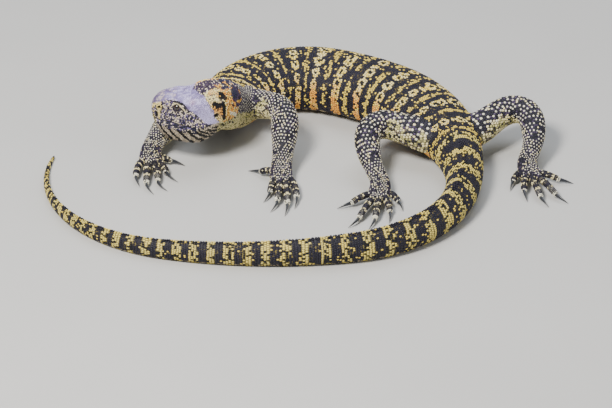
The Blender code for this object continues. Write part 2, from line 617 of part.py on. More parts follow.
def main():
    """Builds the animal."""
    for obj in list(bpy.data.objects):
        bpy.data.objects.remove(obj)
    body = build_lengths()
    build_head()
    build_limbs(body)


main()
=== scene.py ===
"""Nile monitor at life size: one seamless skin, its scales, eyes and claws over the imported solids.

Plan coordinates are millimetres: x to the picture's right, y away from the camera, z up from the floor.
Objects are in metres, with the origin on the floor under the belly.
"""
from __future__ import annotations

import logging
import math
from dataclasses import dataclass
from enum import Enum
from typing import NamedTuple

import bmesh
import bpy
import numpy as np
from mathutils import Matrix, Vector
from mathutils.bvhtree import BVHTree
from mathutils.kdtree import KDTree

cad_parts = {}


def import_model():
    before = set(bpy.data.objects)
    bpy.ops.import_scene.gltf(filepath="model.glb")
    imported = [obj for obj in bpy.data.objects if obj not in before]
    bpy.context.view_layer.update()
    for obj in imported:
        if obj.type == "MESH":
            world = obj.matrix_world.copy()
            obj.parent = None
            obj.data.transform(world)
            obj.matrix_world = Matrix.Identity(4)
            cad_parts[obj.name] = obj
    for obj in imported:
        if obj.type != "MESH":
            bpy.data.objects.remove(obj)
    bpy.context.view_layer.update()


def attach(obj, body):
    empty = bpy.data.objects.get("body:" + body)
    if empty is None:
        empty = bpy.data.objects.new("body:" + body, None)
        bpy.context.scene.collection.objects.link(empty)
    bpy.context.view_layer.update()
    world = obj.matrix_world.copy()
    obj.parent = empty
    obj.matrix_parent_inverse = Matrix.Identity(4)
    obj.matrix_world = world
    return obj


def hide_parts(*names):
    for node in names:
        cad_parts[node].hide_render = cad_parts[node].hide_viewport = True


LOG = logging.getLogger("nile_monitor")
MM = 0.001
RADIAN = 0.01745
SKIN_INSET = 0.5
FLOOR_GAP = 0.3
MARKINGS = "Markings"
UP = np.array([0.0, 0.0, 1.0])
LEVEL = np.array([1.0, 1.0, 0.0])
Array = np.ndarray
Object = bpy.types.Object
Colour = tuple[float, float, float]


class Hide(Enum):
    """Kinds of hide, each with its own scales and markings."""

    BODY = 0
    LIMB = 1
    DIGIT = 2
    PALM = 3


@dataclass(frozen=True)
class Palette:
    """Colours of the markings, linear, with a lilac for painted highlights on the cap and a near black for painted
    shade in the ear and nostril openings.
    """

    cream: Colour = (0.98, 0.85, 0.46)
    shell: Colour = (0.96, 0.82, 0.64)
    # Pale lilac: painted highlights and painted light on the cap.
    pearl: Colour = (0.70, 0.63, 0.98)
    yellow: Colour = (0.92, 0.68, 0.12)
    orange: Colour = (0.92, 0.41, 0.07)
    lichen: Colour = (0.52, 0.48, 0.18)
    # Violet grey of the cap and of specks on the side; on the cap its violet partly stands for painted sky reflection.
    lavender: Colour = (0.325, 0.265, 0.600)
    mauve: Colour = (0.115, 0.076, 0.160)
    slate: Colour = (0.024, 0.020, 0.040)
    navy: Colour = (0.024, 0.024, 0.062)
    black: Colour = (0.004, 0.004, 0.007)
    plum: Colour = (0.058, 0.032, 0.074)
    buff: Colour = (0.35, 0.28, 0.18)
    white: Colour = (0.96, 0.91, 0.72)
    # Near black for painted shade inside the ear and nostril openings.
    pit: Colour = (0.010, 0.006, 0.006)


def smooth_table(table: tuple, x: Array, column: int = 1) -> Array:
    """Monotone cubic curve through the rows of a table.

    Args:
        table: rows of numbers, the first of each row being the place.
        x: places to read.
        column: column to read.

    Returns:
        The values, one for each place.
    """
    rows = np.asarray(table, float)
    xs, ys = rows[:, 0], rows[:, column]
    h = np.diff(xs)
    d = np.diff(ys) / h
    m = np.zeros_like(ys)
    w1, w2 = 2 * h[1:] + h[:-1], h[1:] + 2 * h[:-1]
    with np.errstate(divide="ignore", invalid="ignore"):
        inner = (w1 + w2) / (w1 / d[:-1] + w2 / d[1:])
    m[1:-1] = np.where(d[:-1] * d[1:] > 0, inner, 0.0)
    m[0], m[-1] = d[0], d[-1]
    x = np.clip(np.asarray(x, float), xs[0], xs[-1])
    i = np.clip(np.searchsorted(xs, x) - 1, 0, len(h) - 1)
    t = (x - xs[i]) / h[i]
    return ((1 + 2 * t) * (1 - t) ** 2 * ys[i] + t * (1 - t) ** 2 * h[i] * m[i]
            + t * t * (3 - 2 * t) * ys[i + 1] + t * t * (t - 1) * h[i] * m[i + 1])


def bell(x: Array, centre: float | Array, width: float) -> Array:
    """Smooth bump of height one: exp of minus the squared distance over the width."""
    return np.exp(-((x - centre) / width) ** 2)


def ramp(x: Array, start: float, end: float) -> Array:
    """Share of the way from start to end, held between 0 and 1."""
    return np.clip((x - start) / (end - start), 0, 1)


def folded(theta: Array) -> tuple[Array, Array]:
    """Angles folded to one side of the body, from -90 to 90 degrees, and the side each is on."""
    right = np.cos(theta) < 0
    deg = np.mod(np.degrees(np.where(right, np.pi - theta, theta)) + 180.0, 360.0) - 180.0
    return deg, np.where(right, -1.0, 1.0)


def run_of(points: Array) -> Array:
    """Length of a path up to each of its points."""
    return np.concatenate([[0.0], np.cumsum(np.linalg.norm(np.diff(points, axis=0), axis=1))])


def read_path(at: Array, run: Array, points: Array) -> Array:
    """Points of a path at lengths along it, on straight stretches between its rows."""
    return np.stack([np.interp(at, run, column) for column in points.T], -1)


def bend(start: Array, control: Array, end: Array, t: Array) -> Array:
    """Points at shares of a curve that starts and ends as given and is drawn towards a control point."""
    return start * (1 - t) ** 2 + 2 * control * t * (1 - t) + end * t * t


def circle(count: int) -> Array:
    """Even angles of one whole turn, in radians."""
    return np.linspace(0, 2 * np.pi, count, endpoint=False)


def sphere(rows: int, columns: int) -> tuple[Array, Array, Array]:
    """Grid on a ball of radius one, without its poles: angles from the axis, angles around it, and points."""
    p, t = np.meshgrid(np.linspace(0, np.pi, rows)[1:-1], circle(columns), indexing="ij")
    return p, t, np.stack([np.sin(p) * np.cos(t), np.sin(p) * np.sin(t), np.cos(p)], -1)


def placed(name: str, data: bpy.types.ID) -> Object:
    """New object with its data, linked to the scene."""
    obj = bpy.data.objects.new(name, data)
    bpy.context.scene.collection.objects.link(obj)
    return obj


def search_tree(obj: Object) -> BVHTree:
    """Tree that finds the nearest place on an object's surface."""
    return BVHTree.FromObject(obj, bpy.context.evaluated_depsgraph_get())


def point_tree(points: Array) -> KDTree:
    """Tree that finds the nearest of some points, by their numbers."""
    tree = KDTree(len(points))
    for number, point in enumerate(points):
        tree.insert(point, number)
    tree.balance()
    return tree


def unit(v: Array) -> Array:
    """Vectors scaled to length one."""
    return v / np.maximum(np.linalg.norm(v, axis=-1, keepdims=True), 1e-12)


def lattice_random(cells: Array, seed: int) -> Array:
    """Fixed pseudo-random number from 0 to 1 for each whole-numbered cell."""
    c = cells.astype(np.int64)
    h = (c[..., 0] * 73856093) ^ (c[..., 1] * 19349663) ^ (c[..., 2] * 83492791) ^ (seed * 2654435761)
    h = (h ^ (h >> 13)) * 1274126177 & 0xFFFFFFFF
    return ((h ^ (h >> 16)) & 0xFFFF) / 65535.0


def chances(seed: int, *cells: Array | float) -> Array:
    """Fixed random number from 0 to 1 for each cell, named by three whole numbers."""
    return lattice_random(np.stack(np.broadcast_arrays(*cells), -1), seed)


def value_noise(points: Array, cell: float, seed: int) -> Array:
    """Smooth noise from 0 to 1: random values on a lattice, blended between its corners.

    Args:
        points: places in millimetres, last axis of three.
        cell: size of a lattice cell in millimetres.
        seed: number that picks the pattern.

    Returns:
        One value for each point.
    """
    q = points / cell
    base = np.floor(q)
    f = q - base
    f = f * f * (3 - 2 * f)
    total = np.zeros(points.shape[:-1])
    for corner in range(8):
        step = np.array([corner & 1, corner >> 1 & 1, corner >> 2 & 1])
        weight = np.prod(np.where(step == 1, f, 1 - f), axis=-1)
        total += weight * lattice_random(base + step, seed)
    return total


@dataclass(frozen=True)
class Opening:
    """A nostril or the cup of an ear, the same on both sides of the head, in plan millimetres.

    Its hollow has three radii, leans backward and upward and may stand out. Its shade has a reach, and a patch of
    half sizes clear is kept free of scales.
    """

    place: float
    angle: float
    radii: tuple[float, float, float]
    lean: tuple[float, float]
    rise: float
    dark: float
    clear: tuple[float, float]

    def turn(self, side: int) -> float:
        """Its angle in radians on the left, 1, or on the right, -1."""
        return math.radians(self.angle) if side > 0 else math.pi - math.radians(self.angle)


@dataclass(frozen=True)
class BodyPlan:
    """Path and sections of head, neck, trunk and tail, in plan millimetres."""

    origin_s: float = 265.0
    snout: tuple[float, float] = (151.0, -14.0)
    head_end: float = 66.0
    head_roll: float = 7.0
    mouth_end: float = 44.0
    eye_s: float = 27.4
    eye_angle: float = 29.8
    eye_radius: float = 4.3
    eye_sink: float = 0.66
    nostril: Opening = Opening(9.2, 29.0, (2.4, 1.25, 2.5), (1.0, 0.9), 0.2, 2.1, (2.1, 1.5))
    ear: Opening = Opening(56.0, 4.0, (3.3, 1.9, 2.3), (0.0, 1.0), 0.0, 2.9, (2.0, 2.9))
    start_turn: float = -4.0
    stretches: tuple = (
        (40, 0), (44, 85), (36, 0), (130, -99), (180, -52), (60, -18), (190, -80), (190, -26), (255, -92))
    heights: tuple = (
        (0, 60), (56, 60.5), (66, 60.6), (74, 58.6), (84, 52.6), (97, 44), (108, 38), (120, 33.4), (140, 29.4),
        (165, 28), (250, 28), (340, 28), (400, 26), (430, 24.5), (470, 21.5), (520, 18), (640, 14.2), (800, 10.6),
        (950, 7.3), (1060, 4.6), (1125, 2.2))
    sections: tuple = (
        (0, 0, 0, 0), (0.5, 4.8, 4.8, 6), (1.5, 7.2, 7.6, 10.6), (3, 9, 10, 16.2), (5, 10.5, 12.4, 22.4),
        (8, 12.2, 15, 28.6), (12, 13.6, 17.2, 33.6), (18, 14.9, 18.8, 37.2), (24, 16.2, 19.8, 38.9),
        (30, 17.6, 20.4, 39.8), (37, 19.4, 21, 40.3), (44, 20.9, 22.4, 40.3), (52, 22.2, 24.4, 37),
        (60, 22.4, 25.6, 30.6), (68, 22.2, 24.8, 27.4), (78, 22, 23.2, 26.6), (90, 22.8, 22.2, 26.6),
        (100, 25, 22.2, 26.8), (110, 28, 22.8, 27.4), (120, 30.6, 23.6, 28.2), (140, 33.4, 24.6, 28),
        (170, 35.8, 25.6, 28.2), (250, 39.6, 27.4, 29.2), (330, 40, 27.4, 29.2), (380, 36.4, 26.4, 28),
        (410, 32.4, 25.6, 26.4), (430, 29.2, 24.8, 25), (450, 25.2, 23.6, 23.6), (480, 20.6, 22.2, 21.4),
        (520, 17, 20.6, 18.6), (580, 14.6, 19, 16.4), (700, 11.4, 16, 13.2), (850, 7.8, 11.6, 9.7),
        (980, 4.8, 7.6, 6.8), (1080, 2.6, 4.4, 4.2), (1118, 1.3, 2.2, 2.5), (1125, 0.35, 0.7, 0.9))
    squareness: tuple = (
        (0, 2.3, 2.1), (20, 2.7, 2.2), (50, 2.7, 2.3), (70, 2.3, 2.3), (100, 2.1, 2.2), (200, 2.15, 2.5),
        (400, 2.1, 2.5), (470, 1.8, 2.3), (560, 1.6, 2.2), (1125, 1.6, 2.2))
    lip_line: tuple = (
        (0, -84), (0.5, -80), (1, -50), (1.5, -36), (3, -21), (8, -15), (12, -13), (24, -12), (34, -15), (44, -17.5),
        (66, -17.5))


class Body:
    """Surface of the head, neck, trunk and tail as a function of place and angle."""

    def __init__(self, plan: BodyPlan) -> None:
        """Samples the path every half millimetre.

        Args:
            plan: the sizes of the body.
        """
        self.plan = plan
        self.length = sum(length for length, _ in plan.stretches)
        places = np.arange(0.0, self.length + 0.25, 0.5)
        ends = np.cumsum([0.0] + [length for length, _ in plan.stretches])
        turns = plan.start_turn + np.cumsum([0.0] + [turn for _, turn in plan.stretches])
        angle = np.interp(places, ends, turns)
        angle = np.convolve(np.pad(angle, 24, mode="edge"), np.ones(49) / 49, mode="valid")
        angle[places < 28] = plan.start_turn
        heading = np.radians(angle)
        mid = (heading[1:] + heading[:-1]) / 2
        x = plan.snout[0] + np.concatenate([[0], np.cumsum(np.cos(mid) * 0.5)])
        y = plan.snout[1] + np.concatenate([[0], np.cumsum(np.sin(mid) * 0.5)])
        z = smooth_table(plan.heights, places)
        even = np.convolve(np.pad(z, 20, mode="edge"), np.ones(41) / 41, mode="valid")
        z = np.where((places > 40) & (places < self.length - 12), even, z)
        self.places = places
        self.points = np.stack([x, y, z], -1)
        self.tangents = unit(np.gradient(self.points, 0.5, axis=0))
        self.origin = self.frame_at(np.array(plan.origin_s))[0] * LEVEL
        self.eyes = {side: self.eye(side) for side in (1, -1)}

    def frame_at(self, s: Array) -> tuple[Array, Array, Array, Array]:
        """Frame of the body at a place on its path.

        Args:
            s: places in millimetres from the snout.

        Returns:
            The point, the backward direction, left and up.
        """
        s = np.asarray(s, float)
        point = read_path(s, self.places, self.points)
        back = unit(read_path(s, self.places, self.tangents))
        lean = ramp(s, 440, 480)[..., None]
        flat = unit(back * LEVEL)
        back = back * (1 - lean) + flat * lean
        left = unit(np.cross(back, UP))
        up = np.cross(left, back)
        roll = np.radians(self.plan.head_roll * ramp(s, 100, 45))[..., None]
        left, up = left * np.cos(roll) - up * np.sin(roll), up * np.cos(roll) + left * np.sin(roll)
        return point, back, left, up

    def plain(self, s: Array, theta: Array) -> Array:
        """Plain surface: a superellipse across the path, kept above the floor.

        Args:
            s: places from the snout.
            theta: angles in radians, 0 at the left and a quarter turn at the top.

        Returns:
            Points in plan millimetres.
        """
        s, theta = np.broadcast_arrays(np.asarray(s, float), np.asarray(theta, float))
        width, top, depth = (smooth_table(self.plan.sections, s, k) for k in (1, 2, 3))
        upper, lower = smooth_table(self.plan.squareness, s, 1), smooth_table(self.plan.squareness, s, 2)
        c, q = np.cos(theta), np.sin(theta)
        power = np.where(q >= 0, upper, lower)
        height = np.where(q >= 0, top, depth)
        reach = (np.abs(c) ** power + np.abs(q) ** power) ** (-1 / power)
        point, _, left, up = self.frame_at(s)
        out = point + left * (width * c * reach)[..., None] + up * (height * q * reach)[..., None]
        out[..., 2] = np.maximum(out[..., 2], 0.0)
        return out

    def lip(self, s: Array) -> Array:
        """Angle of the mouth line in degrees, read from its table."""
        rows = np.asarray(self.plan.lip_line, float)
        return np.interp(s, rows[:, 0], rows[:, 1])

    def relief(self, s: Array, deg: Array) -> Array:
        """Height of brow, lips, cheek, folds and flanks over the plain surface, as a sum of smooth bumps.

        Args:
            s: places from the snout.
            deg: angles in degrees on either side, from -90 under the body to 90 on top.

        Returns:
            Heights in millimetres.
        """
        p = self.plan
        lip = self.lip(s)
        near = ramp(s, p.mouth_end, p.mouth_end - 10)
        head = (
            1.25 * bell(s, p.eye_s - 1.5, 6.5) * bell(deg, 52.0, 9.0)
            + 0.55 * bell(s, 14.0, 7.0) * bell(deg, 46.0, 10.0)
            - 0.9 * bell(s, 18.5, 5.0) * bell(deg, 18.0, 12.0)
            - 0.9 * bell(s, 26.0, 12.0) * bell(deg, 90.0, 16.0)
            + 1.1 * bell(s, 43.0, 7.5) * bell(deg, 28.0, 15.0)
            - 0.8 * bell(deg, 41.0 - (s - 34.0) * 0.55, 5.0) * bell(s, 40.0, 8.0)
            + 1.3 * bell(s, 48.0, 7.0) * bell(deg, -14.0, 13.0)
            - 1.2 * bell(s, 58.0, 5.0) * bell(deg, -34.0, 10.0)
            + 0.55 * bell(deg, lip + 7.0, 4.5) * near
            + 0.45 * bell(deg, lip - 8.0, 5.0) * near
            + 0.8 * bell(s, p.nostril.place, 4.0) * bell(deg, 31.0, 16.0)
            + 0.55 * np.cos((s - 0.16 * (deg + 40)) * 2 * np.pi / 6.4) * bell(deg, -50.0, 24.0) * bell(s, 40.0, 16.0)
        ) * ramp(s, 0, 4) * ramp(s, p.head_end + 4, p.head_end - 6)
        head = head - 0.7 * bell(s, 46.5, 1.7) * bell(deg, 72.0, 20.0)
        nape = 0.35 * np.cos((s + 0.05 * deg) * 2 * np.pi / 5.2) * bell(s, 84.0, 15.0) * bell(deg, 5.0, 50.0)
        folds = bell(np.mod(s + 0.10 * deg, 17.0), 8.5, 2.2)
        return head + nape - 0.7 * folds * bell(deg, -28.0, 26.0) * ramp(s, 130, 170) * ramp(s, 425, 395)

    def normal(self, s: Array, theta: Array) -> tuple[Array, Array]:
        """Plain point and its outward normal, from the surface's differences along and around."""
        s, theta = np.broadcast_arrays(np.asarray(s, float), np.asarray(theta, float))
        base = self.plain(s, theta)
        ds = self.plain(s + 0.4, theta) - self.plain(np.maximum(s - 0.4, 0.05), theta)
        dt = self.plain(s, theta + 0.02) - self.plain(s, theta - 0.02)
        normal = unit(np.cross(dt, ds))
        outward = base - self.frame_at(s)[0]
        return base, normal * np.where(np.sum(normal * outward, -1, keepdims=True) < 0, -1.0, 1.0)

    def at_opening(self, opening: Opening, side: int) -> tuple[Array, Array]:
        """Plain point and outward normal at a nostril or ear, 1 on the left and -1 on the right."""
        return self.normal(np.array(opening.place), np.array(opening.turn(side)))

    def eye(self, side: int) -> tuple[Array, Array]:
        """Centre of an eyeball, sunk in the side of the head, and its outward direction."""
        angle = math.radians(self.plan.eye_angle)
        base, normal = self.normal(np.array(self.plan.eye_s), np.array(angle if side > 0 else math.pi - angle))
        return base - normal * (self.plan.eye_radius * self.plan.eye_sink), normal

    def eye_axes(self, side: int) -> tuple[Array, Array, Array]:
        """Middle of an eye's rim, and the directions backward and upward across it."""
        centre, normal = self.eyes[side]
        back = unit(self.frame_at(np.array(self.plan.eye_s))[1])
        back = unit(back - normal * (back @ normal))
        up = np.cross(back, normal)
        return centre + normal * self.plan.eye_radius * self.plan.eye_sink, back, up * (1.0 if up[2] > 0 else -1.0)

    def around_eye(self, points: Array) -> tuple[Array, Array, Array]:
        """Distance from the nearer eye's axis, and the offset backward and upward from it."""
        best = None
        for side, (_, normal) in self.eyes.items():
            rim, back, up = self.eye_axes(side)
            away = points - rim
            depth = away @ normal
            flat = away - normal * depth[..., None]
            distance = np.where(np.abs(depth) < 7.0, np.linalg.norm(flat, axis=-1), 99.0)
            here = (distance, flat @ back, flat @ up)
            best = here if best is None else tuple(np.where(here[0] < best[0], a, b) for a, b in zip(here, best))
        return best

    def skin(self, s: Array, theta: Array, inset: float) -> tuple[Array, Array]:
        """Finished surface with its relief, lids and mouth line, set in by a depth.

        Args:
            s: places from the snout.
            theta: angles in radians.
            inset: depth under the solids' surface in millimetres.

        Returns:
            Points and outward normals.
        """
        s, theta = np.broadcast_arrays(np.asarray(s, float), np.asarray(theta, float))
        base, normal = self.normal(s, theta)
        fold, _ = folded(theta)
        lift = self.relief(s, fold)
        distance, _, _ = self.around_eye(base)
        lift = lift + 1.3 * bell(distance, self.plan.eye_radius * 0.94, 1.4)
        girth = np.maximum(smooth_table(self.plan.sections, s, 1), 0.5)
        groove = bell((fold - self.lip(s)) * girth * 0.0175, 0.0, 0.45)
        mouth = self.plan.mouth_end
        lift = lift - 1.5 * groove * ramp(s, mouth, mouth - 5) * np.clip(s / 2, 0.4, 1)
        inset = np.minimum(inset, 0.35 * girth)
        out = base + normal * (lift - inset)[..., None]
        out[..., 2] = np.maximum(out[..., 2], FLOOR_GAP)
        return out, normal

    def to_object(self, points: Array) -> Array:
        """Plan millimetres to object metres."""
        return (np.asarray(points, float) - self.origin) * MM


@dataclass(frozen=True)
class LimbPlan:
    """Path, sizes and digits of one limb, in plan millimetres."""

    name: str
    path: tuple
    sizes: tuple
    parts: tuple[str, str, str]
    digits: tuple
    radius: float
    around: int


ARM_SIZES = ((0, 13, 13.5), (0.16, 15, 16), (0.33, 13.4, 14.6), (0.47, 13, 13.6), (0.57, 13.8, 13.4),
             (0.68, 13, 12), (0.80, 10.8, 9.2), (0.89, 10.4, 7.6), (1, 12, 6.4))
LEG_SIZES = ((0, 16, 16), (0.14, 17.6, 17.6), (0.33, 15, 15.4), (0.47, 13.6, 14), (0.57, 13.2, 12.6),
             (0.68, 11.8, 11), (0.80, 9.6, 8.6), (0.89, 10, 7.2), (1, 12, 6.2))
LIMBS = (
    LimbPlan("front_left", ((238, 54, 28), (256, 43, 32), (283, 6, 45), (284, -26, 30),
        (281.5, -50, 14.5), (281, -66, 9)), ARM_SIZES, ("upper_arm", "forearm", "hand"),
        (((274.5, -54, 8.4), (267, -52, 8.2), (260, -48, 4.2), (247.5, -40, 0.5)),
         ((276.5, -66, 8.2), (272.5, -80, 8.4), (270, -92, 4.2), (263.5, -104, 0.5)),
         ((280, -70, 8.6), (279, -92, 9.2), (277.5, -110, 4.2), (270.5, -123, 0.5)),
         ((284.5, -70, 8.4), (287, -94, 9.2), (287.5, -116, 4.2), (285, -131, 0.5)),
         ((288.5, -66, 8), (294.5, -84, 8.4), (297, -102, 4.2), (294.5, -117, 0.5))), 4, 46),
    LimbPlan("front_right", ((222, 60, 28), (206, 60, 28), (181, 52, 26), (163, 12, 19),
        (151, -15, 14), (150, -31, 9)), ARM_SIZES, ("upper_arm", "forearm", "hand"),
        (((156, -24, 7.6), (163.5, -26, 7.4), (171, -26.5, 4.2), (185, -30, 0.5)),
         ((155, -31, 8.2), (162, -41, 8.4), (167, -52, 4.2), (178.5, -63, 0.5)),
         ((152, -34, 8.6), (156.5, -52, 9.2), (158.5, -70, 4.2), (168.5, -81, 0.5)),
         ((148.5, -34, 8.4), (147, -54, 9.2), (147, -75, 4.2), (155, -88, 0.5)),
         ((144.5, -30, 8), (138, -44, 8.4), (136, -60, 4.2), (141, -74, 0.5))), 4, 46),
    LimbPlan("rear_left", ((447, -17, 24), (427, -19, 28), (389, -7, 36), (368, -25, 37),
        (370, -57, 24), (380, -83, 12.5), (378, -101, 8)), LEG_SIZES, ("thigh", "shank", "foot"),
        (((385.5, -95, 7.2), (393, -101, 7.2), (398, -109, 4), (402, -121, 0.5)),
         ((383, -103, 7.6), (387, -117, 8.2), (389, -131, 4), (388, -145, 0.5)),
         ((379, -105, 7.8), (376.5, -125, 8.8), (373.5, -145, 4), (367, -158, 0.5)),
         ((375, -103, 7.8), (366, -124, 8.8), (357, -144, 4), (347, -154, 0.5)),
         ((372, -97, 7.4), (361, -105, 8), (349.5, -112, 4), (336.5, -116, 0.5))), 3.9, 36),
    LimbPlan("rear_right", ((457, -15, 24), (477, -7, 28), (508, 22, 36), (531, 13, 37),
        (535, -17, 24), (527, -43, 12.5), (530, -61, 8)), LEG_SIZES, ("thigh", "shank", "foot"),
        (((523, -53, 7.2), (516.5, -60, 7.2), (512, -69, 4), (509.5, -81, 0.5)),
         ((526, -61, 7.6), (523.5, -75, 8.2), (523, -89, 4), (526, -103, 0.5)),
         ((530.5, -63, 7.8), (534.5, -83, 8.8), (539.5, -102, 4), (547, -114, 0.5)),
         ((534.5, -61, 7.8), (545, -80, 8.8), (555.5, -97, 4), (566.5, -106, 0.5)),
         ((536.5, -55, 7.4), (548, -61, 8), (560, -65, 4), (573.5, -66, 0.5))), 3.9, 36),
)


class Tube:
    """A limb or digit: an ellipse carried along a path, with its width level."""

    def __init__(self, points: Array, wide: Array, high: Array) -> None:
        """Keeps the path and the half sizes, sampled at the same places.

        Args:
            points: points of the path in plan millimetres.
            wide: half widths.
            high: half heights.
        """
        self.points = np.asarray(points, float)
        self.run = run_of(self.points)
        self.length = float(self.run[-1])
        self.wide, self.high = wide, high
        self.tangents = unit(np.gradient(self.points, axis=0))

    def surface(self, place: Array, theta: Array, inset: float) -> tuple[Array, Array, Array]:
        """Points, normals and lengthwise directions of the tube.

        Args:
            place: lengths along the path.
            theta: angles in radians, a quarter turn at the top.
            inset: depth under the solids' surface.

        Returns:
            Points, outward normals and directions along the tube.
        """
        place, theta = np.broadcast_arrays(np.asarray(place, float), np.asarray(theta, float))
        centre = read_path(place, self.run, self.points)
        along = unit(read_path(place, self.run, self.tangents))
        level = unit(np.cross(along, UP))
        upright = np.cross(level, along)
        w = np.maximum(np.interp(place, self.run, self.wide) - inset, 0.3)
        h = np.maximum(np.interp(place, self.run, self.high) - inset, 0.3)
        out = centre + level * (w * np.cos(theta))[..., None] + upright * (h * np.sin(theta))[..., None]
        normal = unit(level * (np.cos(theta) / w)[..., None] + upright * (np.sin(theta) / h)[..., None])
        out[..., 2] = np.maximum(out[..., 2], FLOOR_GAP if inset > 0 else 0.0)
        return out, normal, along

    def girth(self, place: Array) -> Array:
        """Length around the tube, from the mean of its half sizes."""
        return np.pi * (np.interp(place, self.run, self.wide) + np.interp(place, self.run, self.high))


class Limb:
    """One limb as a main tube, five digit tubes and the ridges that lead to them."""

    LAST = 399
    WRAP = 5.0
    RIDGE = ((0.86, 0.45, -0.7, 0.60), (0.93, 0.75, 0.5, 0.68), (1.0, 1.0, 0.9, 0.80))

    def __init__(self, plan: LimbPlan) -> None:
        """Builds the tubes of a limb.

        Args:
            plan: sizes of the limb.
        """
        self.plan = plan
        points = self.smooth_path(plan.path, self.LAST + 1)
        places = np.linspace(0, 1, self.LAST + 1)
        wide, high = smooth_table(plan.sizes, places, 1), smooth_table(plan.sizes, places, 2)
        ahead = unit(points[-1] - points[-8])
        extra = np.linspace(0, self.WRAP, 12)[1:]
        points = np.concatenate([points, points[-1] + ahead * extra[:, None]])
        fade = np.sqrt(np.clip(1 - (extra / (self.WRAP + 0.2)) ** 2, 0.02, 1))
        self.main = Tube(points, np.concatenate([wide, wide[-1] * fade]), np.concatenate([high, high[-1] * fade]))
        self.reach = self.main.run[self.LAST]
        self.digits = []
        for root, middle, end, claw in plan.digits:
            t = np.linspace(0, 1, 60)[:, None]
            a, b, c = (np.asarray(v, float) for v in (root, middle, end))
            path = bend(a, 2 * b - (a + c) / 2, c, t)
            t = t[:, 0]
            thick = plan.radius * (1.0 - 0.20 * t + 0.07 * bell(t, 0.42, 0.12) + 0.05 * bell(t, 0.8, 0.1))
            thick = thick * np.where(t > 0.86, 1 - 0.42 * ((t - 0.86) / 0.14) ** 2, 1)
            self.digits.append((Tube(path, thick, thick * 0.95), np.asarray(claw, float)))
        self.ridges = [self.ridge(digit) for digit, _ in self.digits[1:]]

    def ridge(self, digit: Tube) -> Tube:
        """Raised line of the bone and tendon that runs over the palm or sole to a digit."""
        end = self.main.points[self.LAST]
        heading = unit((end - self.main.points[self.LAST - 8]) * LEVEL)
        side = (digit.points[0] - end) * LEVEL
        side = side - heading * (side @ heading)
        path = []
        for share, spread, rise, size in self.RIDGE:
            index = int(share * self.LAST)
            wide, high = self.main.wide[index], self.main.high[index]
            drop = math.sqrt(max(1 - (float(np.linalg.norm(side)) * spread / wide) ** 2, 0.2))
            up = high * drop + rise - self.plan.radius * size
            path.append(self.main.points[index] + side * spread + UP * up)
        path.append(digit.points[14] + UP * 0.3)
        thick = self.plan.radius * np.linspace(0.58, 0.92, 40)
        return Tube(self.smooth_path(tuple(path), 40), thick, thick)

    @staticmethod
    def smooth_path(points: tuple, count: int) -> Array:
        """Path through the points of a limb: a Catmull-Rom curve, evened out and evenly spaced."""
        p = np.asarray(points, float)
        p = np.concatenate([[2 * p[0] - p[1]], p, [2 * p[-1] - p[-2]]])
        fine = []
        for i in range(1, len(p) - 2):
            t = np.linspace(0, 1, 40, endpoint=i == len(p) - 3)[:, None]
            a, b, c, d = p[i - 1], p[i], p[i + 1], p[i + 2]
            fine.append(0.5 * ((2 * b) + (c - a) * t + (2 * a - 5 * b + 4 * c - d) * t ** 2
                               + (3 * b - 3 * c + d - a) * t ** 3))
        fine = np.concatenate(fine)
        for _ in range(190):
            fine[1:-1] = (fine[:-2] + fine[1:-1] * 2 + fine[2:]) / 4
        run = run_of(fine)
        return read_path(np.linspace(0, run[-1], count), run, fine)


